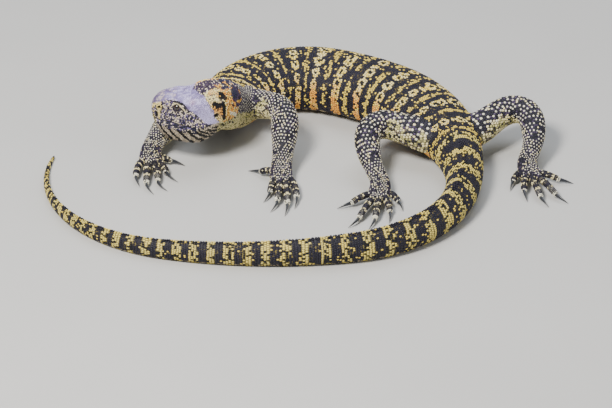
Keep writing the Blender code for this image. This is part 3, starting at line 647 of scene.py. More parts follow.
class Maker:
    """Turns arrays into Blender meshes."""

    def __init__(self, body: Body) -> None:
        """Keeps the body, whose origin places every mesh."""
        self.body = body

    def mesh(self, name: str, points: Array, faces: Array, sizes: Array) -> Object:
        """Object from plan points and a flat list of face corners.

        Args:
            name: name of the object.
            points: vertices in plan millimetres.
            faces: vertex numbers of all faces, one after another.
            sizes: number of corners of each face.

        Returns:
            The new object, at the origin, smooth shaded.
        """
        data = bpy.data.meshes.new(name)
        data.vertices.add(len(points))
        data.vertices.foreach_set("co", self.body.to_object(points).astype(np.float32).ravel())
        data.loops.add(len(faces))
        data.loops.foreach_set("vertex_index", faces.astype(np.int32))
        data.polygons.add(len(sizes))
        starts = np.concatenate([[0], np.cumsum(sizes)[:-1]])
        data.polygons.foreach_set("loop_start", starts.astype(np.int32))
        data.polygons.foreach_set("loop_total", sizes.astype(np.int32))
        data.polygons.foreach_set("use_smooth", np.ones(len(sizes), bool))
        data.update(calc_edges=True)
        data.validate()
        return placed(name, data)

    def grid(self, name: str, rings: Array, start: Array, end: Array) -> Object:
        """Closed tube from rings of points, drawn to a pole at each end.

        Args:
            name: name of the object.
            rings: points, rows by columns by three.
            start: pole before the first ring.
            end: pole after the last ring.

        Returns:
            The new object with outward faces.
        """
        rows, columns = rings.shape[:2]
        i, j = np.meshgrid(np.arange(rows - 1), np.arange(columns), indexing="ij")
        k = (j + 1) % columns
        quads = np.stack([i * columns + j, i * columns + k, (i + 1) * columns + k, (i + 1) * columns + j], -1)
        points = np.concatenate([rings.reshape(-1, 3), [start, end]])
        j = np.arange(columns)
        k = (j + 1) % columns
        head = np.stack([k, j, np.full(columns, rows * columns)], -1)
        last = (rows - 1) * columns
        tail = np.stack([last + j, last + k, np.full(columns, rows * columns + 1)], -1)
        faces = np.concatenate([quads.ravel(), head.ravel(), tail.ravel()])
        sizes = np.concatenate([np.full(quads.size // 4, 4), np.full(2 * columns, 3)])
        obj = self.mesh(name, points, faces, sizes)
        work = bmesh.new()
        work.from_mesh(obj.data)
        bmesh.ops.recalc_face_normals(work, faces=work.faces)
        work.to_mesh(obj.data)
        work.free()
        return obj

    @staticmethod
    def paint(obj: Object, colours: Array) -> None:
        """Stores the colour of the markings at every vertex."""
        attribute = obj.data.attributes.new(MARKINGS, "FLOAT_COLOR", "POINT")
        full = np.concatenate([colours, np.ones((len(colours), 1))], axis=1)
        attribute.data.foreach_set("color", full.astype(np.float32).ravel())

    @staticmethod
    def join(target: Object, other: Object, operation: str = "UNION") -> None:
        """Boolean of another object into a target; the other one is removed."""
        modifier = target.modifiers.new("join", "BOOLEAN")
        modifier.operation = operation
        modifier.solver = "MANIFOLD"
        modifier.object = other
        graph = bpy.context.evaluated_depsgraph_get()
        data = bpy.data.meshes.new_from_object(target.evaluated_get(graph))
        target.modifiers.clear()
        old, target.data = target.data, data
        bpy.data.meshes.remove(old)
        bpy.data.objects.remove(other)


class Places(NamedTuple):
    """Places on the body: run from the snout, angle, points, and what varies their markings.

    The last are a random number for each scale, a slow noise about zero and a fine noise from 0 to 1.
    """

    s: Array
    deg: Array
    points: Array
    chance: Array
    wobble: Array
    fine: Array


class Markings:
    """Colours of the hide as functions of place, the same for the skin and for its scales."""

    BARS = ((-3, 2.2), (6.5, 2.1), (17.3, 2.1), (27.2, 1.9), (33.9, 1.5), (37.9, 1.2), (42, 1.2), (46.5, 1.2))
    LIP_SPOTS = ((10, -20), (18, -18), (26.1, -19), (33.9, -22), (42, -22))
    BLOTCHES = ((60.9, 47, 2, 8.5), (62.6, 38, 1.4, 6), (55.2, 32, 1.8, 6), (57.6, 26, 2, 6))
    THROAT = ((0, -30), (12, -25), (22, -24), (30, -26), (37, -21.5), (43, -18), (49, -14), (56, -12))
    CAP_EDGE = ((0, 62), (6, 52), (10.5, 48), (21, 50), (27, 45), (33.6, 43), (36.3, 32), (39.3, 24), (42.3, 18),
                (45.6, 4), (48, -5), (51, -12), (58, -16))
    CAP_REAR = ((-60, 60), (-17, 58.5), (-5, 56.1), (14, 54.3), (26, 53.1), (38, 51.6), (56, 50), (72, 47), (90, 45))
    LID_LINE = ((-4.5, 2.3), (-3.4, 3.7), (0, 4.2), (3, 3.3), (5, 1.2), (7.8, -2), (9.6, -5.4))
    BROW_LINE = ((-6.6, 6.3), (1.5, 5.9), (6.9, 3.4), (11, 0.2))

    def __init__(self, body: Body, palette: Palette) -> None:
        """Keeps the body, for the places of eye and nostril, and the colours."""
        self.body = body
        self.colours = {name: np.array(getattr(palette, name)) for name in palette.__dataclass_fields__}

    def crown(self, s: Array, deg: Array) -> Array:
        """Which places lie on the smooth crown of the head."""
        return (deg > self.curve(self.CAP_EDGE, s) + 1.5) & (s < self.curve(self.CAP_REAR, deg) - 1.0) & (s > 3.0)

    def lay(self, colour: Array, *layers: tuple[str, Array]) -> Array:
        """Lays named colours one over another, each where its mask, from 0 to 1, says so."""
        for name, mask in layers:
            colour = colour + (self.colours[name] - colour) * np.clip(mask, 0, 1)[..., None]
        return colour

    def flat(self, name: str, points: Array, *layers: tuple[str, Array]) -> Array:
        """One colour for every point, with others laid over it."""
        return self.lay(np.broadcast_to(self.colours[name], points.shape).copy(), *layers)

    @staticmethod
    def curve(table: tuple, x: Array) -> Array:
        """Straight stretches through the rows of a table."""
        rows = np.asarray(table, float)
        return np.interp(x, rows[:, 0], rows[:, 1])

    def body_colour(self, s: Array, deg: Array, side: Array, points: Array, chance: Array, dots: Array) -> Array:
        """Markings of head, neck, trunk and tail.

        Args:
            s: places from the snout.
            deg: angles from -90 under the body to 90 on top.
            side: 1 on the left, -1 on the right.
            points: places in plan millimetres.
            chance: a random number from 0 to 1 for each scale.
            dots: which scales are the pale ones of their rows.

        Returns:
            Colours, one row for each place.
        """
        wobble, fine = value_noise(points, 7.0, 3) - 0.5, value_noise(points, 2.3, 5)
        at = Places(s, deg, points, chance, wobble, fine)
        colour = np.where((s < 101 + wobble * 10)[:, None], self.neck(at), self.trunk(at))
        arm = self.flat("slate", points, ("mauve", (chance > 0.6) * 0.55), ("white", dots * (0.55 + 0.45 * chance)))
        pit = self.flat("lichen", points, ("cream", 0.65 * (chance > 0.45)),
                        ("black", ((fine < 0.30) | (chance < 0.10)) * 0.9))
        shoulder = (s > 76 + wobble * 6) & (s < 120 + wobble * 12) & (deg < 58 + wobble * 20) & (deg > -60)
        colour = np.where(shoulder[:, None], np.where((deg > -14 + wobble * 16)[:, None], arm, pit), colour)
        rear = self.curve(self.CAP_REAR, deg) - 3.0 * (side < 0) * (deg > 20) + wobble * 1.5
        return np.where((s < rear)[:, None], self.head(at), colour)

    def head(self, at: Places) -> Array:
        """Grey cap with painted highlights, mottled side with pale nostril ring and eye line, spotted lips and striped
        throat.
        """
        s, deg, points, chance, wobble, fine = at
        nostril = self.body.plan.nostril
        speck = fine * 0.42 + chance * 0.58
        colour = self.flat("mauve", points, ("lavender", 0.10 + 0.55 * lattice_random(np.floor(points), 61)),
                           ("black", (speck < 0.47) * 0.95), ("navy", ((speck < 0.38) & (deg < 4)) * 0.8),
                           ("shell", speck > 0.635))
        lean = s + 0.42 * np.maximum(deg, -52.0) + wobble * 1.6
        bars = np.any([np.abs(lean - centre) < half for centre, half in self.BARS], axis=0)
        # Painted shade: the throat darkens with mauve towards its lowest part.
        striped = self.flat("buff", points, ("shell", 0.05 + 0.65 * chance), ("mauve", ramp(deg, -50, -75) * 0.5),
                            ("black", bars * np.clip(1.15 - ramp(deg, -62, -92) * 0.4, 0, 1)),
                            ("black", (s <= 15) & (speck < 0.47)))
        throat = deg < self.curve(self.THROAT, s) + (fine - 0.5) * 10
        colour = np.where(throat[:, None], striped, colour)
        lips = [(np.hypot(s - place, (deg - angle) * 0.30) < 2.2) & (chance < 0.85) for place, angle in self.LIP_SPOTS]
        away = np.hypot(s - nostril.place, (deg - nostril.angle) * 0.22)
        snout = (away > 1.5) & (away < 3.0)
        snout |= (np.abs(deg - 42) < 4.5) & (s < 11.5) & (s > 1.0)
        snout |= (np.abs(s - 8.9) < 1.15) & (deg < 28) & (deg > self.body.lip(s) + 2)
        snout |= (np.abs(s - 3.0) < 1.3) & (chance > 0.55)
        distance, back, up = self.body.around_eye(points)
        near = (distance < 14) & (s > 15) & (s < 42)
        brow = near & (np.abs(up - self.curve(self.BROW_LINE, back)) < 0.85) & (back > -6.6) & (back < 11)
        over = up - self.curve(self.LID_LINE, back)
        colour = self.lay(
            colour, *(("navy", spot) for spot in lips), ("black", (away < 3.8) & (away >= 3.0)),
            ("yellow", snout * 0.95), ("cream", snout * 0.45), ("black", (np.abs(s - 6.0) < 1.2) & (np.abs(deg) < 10)),
            ("black", brow), ("black", (distance < 6.4) & (over < 0) & (chance < 0.55)),
            ("cream", near & (np.abs(over) < 1.1) & (back > -4.8) & (back < 9.6)))
        # Painted highlights: pale lilac patches on the cap, more of them towards its middle and back, stand for sky
        # reflected on the smooth crown.
        highlight_patches = value_noise(points * np.array([1.0, 2.2, 1.0]), 4.4, 51) * 0.6 + chance * 0.4
        grey = self.flat(
            "lavender", points, ("mauve", 0.70 * value_noise(points, 3.2, 9) + 0.20 * chance),
            ("pearl", np.clip((highlight_patches - 0.40) * 2.8, 0, 0.9) * np.clip((s - 10) / 12, 0.15, 1)),
            ("mauve", ramp(s, 20, 4) * 0.72),
            ("shell", 0.50 * (value_noise(points, 2.0, 43) * 0.7 + chance * 0.3 > 0.60) * (s < 26)),
            # Painted light: the lower back of the cap, which lies in shade, is lightened with lilac.
            ("pearl", 0.75 * ramp(s, 38, 50) * ramp(deg, 44, 4)),
            # Painted shade in the crease at the back of the crown.
            ("mauve", 0.3 * bell(np.hypot(s - 45.5, (deg - 76) * 0.22), 0.0, 2.6)),
            ("orange", 0.16 * bell(np.hypot(s - 41.0, (deg - 47) * 0.3), 0.0, 2.2)))
        cap = (deg > self.curve(self.CAP_EDGE, s) + wobble * 5) & ~brow
        colour = np.where(cap[:, None], grey, colour)
        jaw = (np.abs(deg + 18 - (s - 49.8) * 0.25) < 2.6) & (s > 48.5) & (s < 60)
        return self.lay(colour, ("buff", jaw * 0.95), ("shell", jaw * 0.45))

    def neck(self, at: Places) -> Array:
        """Dark nape with pale specks, a pale yellow collar with black blotches and an orange band behind it."""
        s, deg, points, chance, wobble, fine = at
        colour = self.flat(
            "plum", points, ("black", 0.7 * (fine < 0.5)), ("mauve", 0.6 * (chance > 0.55)),
            ("shell", ((deg > 52) | (s > 78)) & (np.mod(s, 3.1) < 1.6) & (chance > 0.66)),
            ("navy", (value_noise(points, 8.0, 67) > 0.56) & (deg > 30) & (s > 64) & (chance < 0.9)))
        warm = self.flat("yellow", points, ("cream", 0.9 * (chance > 0.18)),
                         ("orange", np.clip((value_noise(points, 6.0, 15) - 0.52) * 5, 0, 0.9)))
        front = 62.6 + wobble * 3
        collar = (s < front) & (deg < 66 + wobble * 14) & (deg > -30) & (chance >= 0.05) & (fine >= 0.19)
        colour = np.where(collar[:, None], warm, colour)
        deep = self.flat("orange", points, ("yellow", 0.75 * (chance > 0.55)), ("cream", (chance > 0.78) * 0.9))
        band = (s >= front) & (s < 67.4 + wobble * 3) & (deg > -24) & (deg < 57)
        patch = (s >= 67.0) & (s < 77.0 + wobble * 6) & (deg > -26) & (deg < 22 + wobble * 10) & (fine > 0.40)
        freckles = (s > 60.5) & (s < 75) & (deg > 52) & (deg < 80) & (value_noise(points, 4.0, 19) > 0.60)
        colour = np.where(((band | patch | freckles) & (chance >= 0.08))[:, None], deep, colour)
        blots = [(np.hypot((s - place) / half, (deg - angle) / spread) < 1 + wobble * 0.5) & (chance > 0.06)
                 for place, angle, half, spread in self.BLOTCHES]
        stripe = (np.abs(s - 60.6 - (35 - deg) * 0.027) < 1.25) & (deg < 31) & (deg > -13)
        colour = self.lay(colour, *(("black", blot) for blot in blots), ("black", stripe))
        green = self.flat("lichen", points, ("cream", 0.65 * (chance > 0.42)),
                          ("black", (fine < 0.32) | (chance < 0.10)))
        colour = np.where(((deg < -17 + wobble * 12) & (s > 59))[:, None], green, colour)
        streak = np.interp(s, [66.0, 68.4, 79.5, 96.6], [-2.0, -6.0, -25.0, -38.0])
        warm = np.hypot((s - 80.0) / 4.0, (deg - 40.0) / 9.0) < 1 + wobble
        ring = np.hypot(s - 92.0, (deg - 34) * 0.40)
        return self.lay(colour, ("white", (np.abs(deg - streak) < 3.4) & (s > 66) & (s < 90)),
                        ("orange", warm & (chance > 0.2)), ("cream", warm & (chance > 0.6)),
                        ("cream", (np.abs(ring - 3.8) < 1.1) & (chance > 0.15)))

    def trunk(self, at: Places) -> Array:
        """Rows of ringed spots over the back, warm bars on the flanks, barred belly and banded tail."""
        s, deg, points, chance, wobble, fine = at
        pitch = np.interp(s, [0, 440, 700, 1125], [31.0, 31.0, 27.0, 20.0])
        row = (s - 122.0) / pitch
        off = row - np.round(row)
        sections = self.body.plan.sections
        girth = np.maximum(smooth_table(sections, s, 1) + smooth_table(sections, s, 2), 2.0) * 0.5
        step = 24.0
        column = (deg + wobble * 7) / step + 0.5 * np.mod(np.round(row), 2)
        across = (column - np.round(column)) * step * RADIAN * girth
        stretch = np.interp(deg, [-60, -10, 25, 55], [0.36, 0.36, 0.62, 0.95])
        ring = np.hypot(off * pitch + wobble * 3, across * stretch)
        size = 5.4 + (value_noise(points, 24.0, 41) - 0.5) * 3
        between = np.abs(np.abs(off) - 0.5) * pitch + wobble * 5
        colour = self.flat("black", points, ("slate", 0.5 + 0.5 * wobble),
                           ("yellow", ((between < 2.4) & (fine + 0.5 * chance > 0.62) & (deg > -30)) * 0.85),
                           ("yellow", (chance > 0.94) & (deg > -35)))
        hot = ramp(deg, 42, 8) * np.clip((value_noise(points, 11.0, 21) - 0.15) * 2.6, 0, 1)
        warm = self.flat("yellow", points, ("cream", 0.7 * (chance > 0.50)), ("orange", hot * (chance > 0.20)),
                         ("black", chance < 0.07))
        colour = np.where((ring < size)[:, None], warm, colour)
        colour = self.lay(colour, ("black", (ring < size * 0.40) & (deg > 22)))
        belly = (ramp(-38 - deg + wobble * 16, 0, 10) > 0.5) & (s < 470)
        bar = np.sin((s / 14.5 + wobble * 0.4) * 2 * np.pi) > 0.22
        under = self.flat("buff", points, ("cream", 0.5 * chance), ("plum", bar))
        colour = colour + (under - colour) * belly[:, None]
        width = np.interp(s, [450, 620, 1125], [0.19, 0.23, 0.30])
        band = np.abs(off) + wobble * 0.16 + (chance - 0.5) * 0.07 < width
        pale = self.flat("yellow", points, ("lichen", 0.45 + 0.4 * wobble), ("black", (fine < 0.36) | (chance < 0.10)))
        dusk = self.flat("black", points, ("slate", np.array(0.5)), ("yellow", ((chance > 0.90) & (fine > 0.45)) * 0.8))
        ringed = self.lay(np.where(band[:, None], pale, dusk), ("buff", (deg < -45) & (chance > 0.35) & ~band))
        return np.where((s > 455 + wobble * 8)[:, None], ringed, colour)

    def limb_colour(self, share: Array, normal_z: Array, points: Array, chance: Array, row: Array,
                    column: Array) -> Array:
        """Blue-black limb with cross rows of cream dots and a pale underside.

        Args:
            share: share of the limb's length, from 0 to 1.
            normal_z: upward part of the outward direction.
            points: places in plan millimetres.
            chance: a random number from 0 to 1 for each scale.
            row: number of the scale's row, or -1 on the skin.
            column: number of the scale in its row, or -1 on the skin.

        Returns:
            Colours, one row for each place.
        """
        fine, patch = value_noise(points, 6.0, 31), value_noise(points, 9.0, 33)
        own = row >= 0
        lattice = (np.mod(row, 2) == 0) & (np.mod(column + np.floor(row / 2), 2) == 0) & own
        dot = lattice & (fine + 0.5 * chance > 0.43) & ((share < 0.89) | (share > 1.1) | (normal_z < 0.2))
        colour = self.flat("slate", points, ("black", 0.6 * (chance < 0.4)), ("mauve", 0.6 * ((chance > 0.70) & own)),
                           ("white", dot * (0.60 + 0.40 * chance)), ("cream", 0.8 * ((chance > 0.94) & own)))
        reach = 0.76 * np.clip((0.46 - share) / 0.10, 0, 1) - 0.34 + 1.1 * (patch - 0.5)
        green = self.flat("lichen", points, ("cream", 0.75 * (chance > 0.55)),
                          ("plum", (value_noise(points, 3.0, 71) < 0.34) * 0.85))
        return np.where(((normal_z < reach) & (chance > 0.30))[:, None], green, colour)

    def digit_colour(self, share: Array, points: Array, chance: Array) -> Array:
        """Blue-black digit with cream cross bars and a white spot before its claw."""
        bar = np.cos((share - 0.93) / 0.24 * 2 * np.pi) > 0.62
        return self.flat("slate", points, ("black", 0.7 * (chance < 0.5)), ("cream", (bar & (chance > 0.38)) * 0.95),
                         ("white", (share > 0.88) & (chance > 0.25)))


class Sock:
    """A shader value that adds Math nodes when it is used in an expression."""

    def __init__(self, nodes: Nodes, socket: bpy.types.NodeSocket) -> None:
        """Wraps an output socket."""
        self.nodes = nodes
        self.socket = socket

    def math(self, operation: str, *values: Sock | float) -> Sock:
        """Adds one Math node with this value first."""
        return self.nodes.add("ShaderNodeMath", {"operation": operation}, dict(enumerate((self, *values))))

    def __add__(self, other: Sock | float) -> Sock:
        """Sum."""
        return self.math("ADD", other)

    def __mul__(self, other: Sock | float) -> Sock:
        """Product."""
        return self.math("MULTIPLY", other)

    def __sub__(self, other: Sock | float) -> Sock:
        """Difference."""
        return self.math("SUBTRACT", other)

    def __rsub__(self, other: float) -> Sock:
        """Difference from a number."""
        return self.nodes.add("ShaderNodeMath", {"operation": "SUBTRACT"}, {0: other, 1: self})

    __radd__ = __add__
    __rmul__ = __mul__


class Nodes:
    """Builds the node tree of one material."""

    def __init__(self, name: str) -> None:
        """Makes a material with only its Principled shader.

        Args:
            name: name of the material.
        """
        self.material = bpy.data.materials.new(name)
        self.material.use_nodes = True
        self.tree = self.material.node_tree
        self.shader = self.tree.nodes["Principled BSDF"]

    def add(self, kind: str, settings: dict | None = None, inputs: dict | None = None, output: int | str = 0) -> Sock:
        """Adds a node.

        Args:
            kind: type of the node.
            settings: properties that are set first.
            inputs: values or links by socket name or number.
            output: socket to return.

        Returns:
            The chosen output.
        """
        node = self.tree.nodes.new(kind)
        for key, value in (settings or {}).items():
            setattr(node, key, value)
        for key, value in (inputs or {}).items():
            self.feed(node.inputs[key], value)
        return Sock(self, node.outputs[output])

    def feed(self, socket: bpy.types.NodeSocket, value: object) -> None:
        """Sets a socket to a value or links it."""
        if isinstance(value, Sock):
            self.tree.links.new(value.socket, socket)
        else:
            socket.default_value = value

    def surface(self, **inputs: object) -> bpy.types.Material:
        """Feeds the shader's sockets, underscores standing for spaces, and returns the material."""
        for key, value in inputs.items():
            self.feed(self.shader.inputs[key.replace("_", " ")], value)
        return self.material

    def place(self) -> Sock:
        """Object coordinates."""
        return self.add("ShaderNodeTexCoord", output="Object")

    def noise(self, scale: float, detail: float = 2.0) -> Sock:
        """Noise on the object's own coordinates."""
        return self.add("ShaderNodeTexNoise", {}, {"Vector": self.place(), "Scale": scale, "Detail": detail})

    def bump(self, height: Sock, strength: float, distance: float) -> Sock:
        """Normal bent by a height."""
        return self.add("ShaderNodeBump", {}, {"Height": height, "Strength": strength, "Distance": distance})

    def painted(self, factor: Sock) -> Sock:
        """Colour of the markings times a factor."""
        colour = self.add("ShaderNodeAttribute", {"attribute_name": MARKINGS}, output="Color")
        return self.add("ShaderNodeVectorMath", {"operation": "SCALE"}, {0: colour, "Scale": factor})


@dataclass(frozen=True)
class HideFinish:
    """Soft hide between the scales: dark, fine-grained and matt."""

    name: str = "hide"
    roughness: float = 0.62

    def build(self) -> bpy.types.Material:
        """Material with the markings, a fine grain and small pits."""
        n = Nodes(self.name)
        grain = n.add("ShaderNodeTexVoronoi", {"feature": "F1"}, {"Vector": n.place(), "Scale": 900.0})
        tone = n.noise(160.0) * 0.5 + 0.72
        normal = n.bump(grain * -1.0 + n.noise(420.0) * 0.4, 0.5, 0.0004)
        return n.surface(Base_Color=n.painted(tone), Roughness=n.noise(240.0) * 0.2 + self.roughness - 0.1,
                         Normal=normal)


@dataclass(frozen=True)
class ScaleFinish:
    """Horny scales: satin, a little waxy, each with its own tone and faint pits."""

    name: str
    roughness: float
    coat: float
    pits: float

    def build(self) -> bpy.types.Material:
        """Material with the markings of each scale."""
        n = Nodes(self.name)
        tone = n.noise(700.0) * 0.45 + 0.80
        normal = n.bump(n.noise(1500.0, 3.0) + n.noise(380.0) * 0.6, self.pits, 0.0003)
        colour = n.painted(tone)
        rough = n.noise(500.0) * 0.22 + self.roughness - 0.11
        return n.surface(Base_Color=colour, Roughness=rough, Coat_Weight=self.coat, Coat_Roughness=0.35,
                         Normal=normal, Specular_IOR_Level=0.26)


@dataclass(frozen=True)
class EyeFinish:
    """Wet eye with a black pupil in a thin brown and gold iris."""

    name: str = "eye_wet"

    def build(self) -> bpy.types.Material:
        """Material with the painted iris under a clear wet layer."""
        n = Nodes(self.name)
        tone = n.noise(1800.0) * 0.5 + 0.75
        return n.surface(Base_Color=n.painted(tone), Roughness=0.12, Coat_Weight=1.0, Coat_Roughness=0.02)


@dataclass(frozen=True)
class ClawFinish:
    """Grey-black horn, streaked along the claw, glossy and paler at the worn tip."""

    name: str = "claw_horn"

    def build(self) -> bpy.types.Material:
        """Material with the painted tone and fine streaks."""
        n = Nodes(self.name)
        tone = n.noise(900.0, 4.0) * 0.6 + 0.7
        normal = n.bump(n.noise(1300.0, 3.0), 0.25, 0.0002)
        return n.surface(Base_Color=n.painted(tone), Roughness=n.noise(600.0) * 0.25 + 0.20,
                         Coat_Weight=0.3, Coat_Roughness=0.15, Normal=normal)


class Skin:
    """The seamless skin over head, body, tail, limbs and digits."""

    TIP_ROWS = (0.12, 0.25, 0.42, 0.62, 0.85, 1.1, 1.4, 1.75, 2.15, 2.6, 3.0)
    GRIDS = {Hide.LIMB: (1.5, 52), Hide.DIGIT: (1.1, 20), Hide.PALM: (1.1, 16)}
    JOINS = ((0.16, 27.0), (0.24, 22.0))
    JOIN_TURNS = 46
    KNUCKLE_ROW = 6
    KNUCKLE_REACH = 6.0
    KNUCKLE_TURNS = 8
    SHADE = {True: 0.66, False: 0.30}
    PALM_SHARE = 0.95

    def __init__(self, body: Body, limbs: list[Limb], maker: Maker, markings: Markings) -> None:
        """Keeps what the skin is made from."""
        self.body, self.limbs, self.maker, self.markings = body, limbs, maker, markings
        self.samples: list[tuple[Array, ...]] = []
        self.limb_trees: list[BVHTree] = []

    def note(self, rings: Array, s: Array, theta: Array, kind: Hide, key: int) -> None:
        """Keeps the places of a grid, with their kind of hide and number of limb, for the markings."""
        self.samples.append((rings.reshape(-1, 3), s.ravel(), theta.ravel(), np.full(s.size, kind.value),
                             np.full(s.size, key)))

    def columns(self) -> Array:
        """Shares of the half turn, close together at the mouth line: from -1 under the body to 1 on top."""
        lower = -np.linspace(1, 0, 23)[:-3] ** 1.15
        near = np.linspace(-0.055, 0.05, 9)
        upper = np.linspace(0, 1, 34)[3:] ** 1.08
        return np.concatenate([lower, near, upper])

    def trunk(self) -> Object:
        """Head, neck, trunk and tail as one closed grid of rings."""
        share = self.columns()
        length = self.body.length
        rows = np.concatenate([self.TIP_ROWS, np.arange(3.4, 62.0, 0.85), np.arange(62.0, 452.0, 2.0),
                               np.arange(452.0, length - 3.0, 3.2), [length - 1.2]])
        lip = np.radians(self.body.lip(rows))[:, None]
        half = np.where(share >= 0, lip + share * (np.pi / 2 - lip), lip + share * (np.pi / 2 + lip))
        theta = np.concatenate([half, (np.pi - half)[:, ::-1][:, 1:-1]], axis=1)
        s = np.broadcast_to(rows[:, None], theta.shape)
        rings, _ = self.body.skin(s, theta, SKIN_INSET)
        tip = self.body.frame_at(np.array(0.0))[0] + np.array([0.4, 0.0, 0.0])
        end = self.body.frame_at(np.array(length - 0.6))[0]
        end[2] = max(end[2], 0.9)
        self.note(rings, s, theta, Hide.BODY, 0)
        return self.maker.grid("skin", rings, tip, end)

    def tube(self, tube: Tube, start: float, end: float, key: int, kind: Hide) -> Object:
        """One limb, digit or ridge as a closed grid of rings.

        Args:
            tube: the tube to make.
            start: first place along it.
            end: last place along it.
            key: number of the limb.
            kind: its hide, which gives how far its rings stand apart and their corners.

        Returns:
            The grid.
        """
        step, around = self.GRIDS[kind]
        rows = np.linspace(start, end, max(int((end - start) / step), 4))
        s, t = np.meshgrid(rows, circle(around), indexing="ij")
        rings, _, _ = tube.surface(s, t, SKIN_INSET)
        if kind is Hide.PALM:
            self.note(rings, np.full(s.shape, self.PALM_SHARE * self.limbs[key].reach), t, Hide.LIMB, key)
        else:
            self.note(rings, s, t, kind, key)
        return self.maker.grid(kind.name, rings, rings[0].mean(axis=0), rings[-1].mean(axis=0))

    def scoop(self, skin: Object, centre: Array, axes: Array, radii: tuple[float, float, float]) -> None:
        """Cuts an ellipsoid, given by its centre, axes and radii, out of the skin."""
        local = sphere(17, 32)[2] * np.array(radii)
        pole = np.array([0, 0, radii[2]]) @ axes
        ball = self.maker.grid("ball", local @ axes + centre, pole + centre, centre - pole)
        self.maker.join(skin, ball, "DIFFERENCE")

    def hollow(self, skin: Object) -> None:
        """Cuts the eye sockets, nostrils and ear cups."""
        plan = self.body.plan
        _, back, _, up = self.body.frame_at(np.array(plan.eye_s))
        for side in (1, -1):
            centre, normal = self.body.eyes[side]
            self.scoop(skin, centre, self.axes(normal, back), (plan.eye_radius + 0.15,) * 3)
            for cup in (plan.nostril, plan.ear):
                base, normal = self.body.at_opening(cup, side)
                along = back * cup.lean[0] + up * cup.lean[1]
                self.scoop(skin, base + normal * cup.rise, self.axes(normal, along), cup.radii)

    @staticmethod
    def axes(normal: Array, along: Array) -> Array:
        """Right-handed axes with the last one along the normal."""
        normal = unit(normal)
        along = unit(along - normal * (along @ normal))
        return np.stack([along, np.cross(normal, along), normal])

    def soften(self, points: Array, edges: Array, weight: Array, turns: int) -> Array:
        """Moves points towards the mean of their neighbours, by their weight, a number of turns."""
        count = np.bincount(edges.ravel(), minlength=len(points))[:, None]
        for _ in range(turns):
            total = np.stack([np.bincount(edges[:, 0], points[edges[:, 1], k], len(points))
                              + np.bincount(edges[:, 1], points[edges[:, 0], k], len(points)) for k in range(3)], -1)
            points = points + (total / count - points) * weight[:, None] * 0.6
        return points

    def build(self) -> Object:
        """Joins all tubes to the trunk, softens the joins and paints the markings."""
        skin = self.trunk()
        self.trunk_tree = search_tree(skin)
        for key, limb in enumerate(self.limbs):
            main = self.tube(limb.main, 0.03 * limb.reach, limb.main.length - 0.4, key, Hide.LIMB)
            self.limb_trees.append(search_tree(main))
            for digit, _ in limb.digits:
                self.maker.join(main, self.tube(digit, 0.0, digit.length - 0.15, key, Hide.DIGIT))
            for ridge in limb.ridges:
                self.maker.join(main, self.tube(ridge, 0.0, ridge.length, key, Hide.PALM))
            self.maker.join(skin, main)
        self.hollow(skin)
        data = skin.data
        points = np.zeros(len(data.vertices) * 3)
        data.vertices.foreach_get("co", points)
        points = points.reshape(-1, 3) / MM + self.body.origin
        edges = np.zeros(len(data.edges) * 2, int)
        data.edges.foreach_get("vertices", edges)
        edges = edges.reshape(-1, 2)
        weight = np.zeros(len(points))
        knuckles = np.zeros(len(points))
        for limb in self.limbs:
            for share, reach in self.JOINS:
                joint = limb.main.points[int(share * limb.LAST)]
                weight = np.maximum(weight, np.clip(1.35 - np.linalg.norm(points - joint, axis=1) / reach, 0, 1))
            for digit, _ in limb.digits:
                near = np.linalg.norm(points - digit.points[self.KNUCKLE_ROW], axis=1)
                knuckles = np.maximum(knuckles, np.clip(1.4 - near / self.KNUCKLE_REACH, 0, 1))
        points = self.soften(points, edges, weight, self.JOIN_TURNS)
        points = self.soften(points, edges, knuckles, self.KNUCKLE_TURNS)
        points[:, 2] = np.maximum(points[:, 2], FLOOR_GAP)
        data.vertices.foreach_set("co", self.body.to_object(points).astype(np.float32).ravel())
        data.update()
        self.paint(skin, points)
        self.tree = search_tree(skin)
        return skin

    def paint(self, skin: Object, points: Array) -> None:
        """Gives every vertex the markings of the nearest place on the tubes it came from, darkened."""
        places, s, theta, kind, key = (np.concatenate(column) for column in zip(*self.samples))
        tree = point_tree(places)
        nearest = np.array([tree.find(point)[1] for point in points])
        s, theta, kind, key = s[nearest], theta[nearest], kind[nearest], key[nearest]
        chance = lattice_random(np.floor(points / 1.6), 77)
        fold, side = folded(theta)
        blank = np.full(len(points), -1.0)
        colour = self.markings.body_colour(s, fold, side, points, chance, blank < -2)
        crown = (kind == Hide.BODY.value) & self.markings.crown(s, fold)
        for index, limb in enumerate(self.limbs):
            own = (kind == Hide.LIMB.value) & (key == index)
            tone = self.markings.limb_colour(s / limb.reach, np.sin(theta), points, chance, blank, blank)
            colour = np.where(own[:, None], tone, colour)
        lengths = np.array([np.mean([digit.length for digit, _ in limb.digits]) for limb in self.limbs])
        digit_colour = self.markings.digit_colour(np.clip(s / lengths[key], 0, 1), points, chance)
        colour = np.where((kind == Hide.DIGIT.value)[:, None], digit_colour, colour)
        shade = np.where(crown, self.SHADE[True], self.SHADE[False])[:, None]
        colour = colour * shade + self.markings.colours["black"] * 0.5
        # Painted shade inside the ear and nostril openings: near black that fades out towards their rims.
        for cup in (self.body.plan.ear, self.body.plan.nostril):
            for side in (1, -1):
                base, normal = self.body.at_opening(cup, side)
                deep = np.linalg.norm(points - base + normal * 1.3, axis=1)
                colour = self.markings.lay(colour, ("pit", (cup.dark - deep) / 0.6))
        self.maker.paint(skin, colour)


@dataclass
class Scales:
    """Arrays that describe a set of scales, in plan millimetres."""

    centre: Array
    along: Array
    normal: Array
    half_length: Array
    half_width: Array
    height: Array
    colour: Array
    uv: Array
    tight: Array
    piece: Array

    def keep(self, mask: Array) -> Scales:
        """Only the scales that a mask picks."""
        return Scales(*(getattr(self, name)[mask] for name in self.__dataclass_fields__))

    @staticmethod
    def together(parts: list[Scales]) -> Scales:
        """Several sets as one."""
        return Scales(*(np.concatenate([getattr(part, name) for part in parts])
                        for name in Scales.__dataclass_fields__))


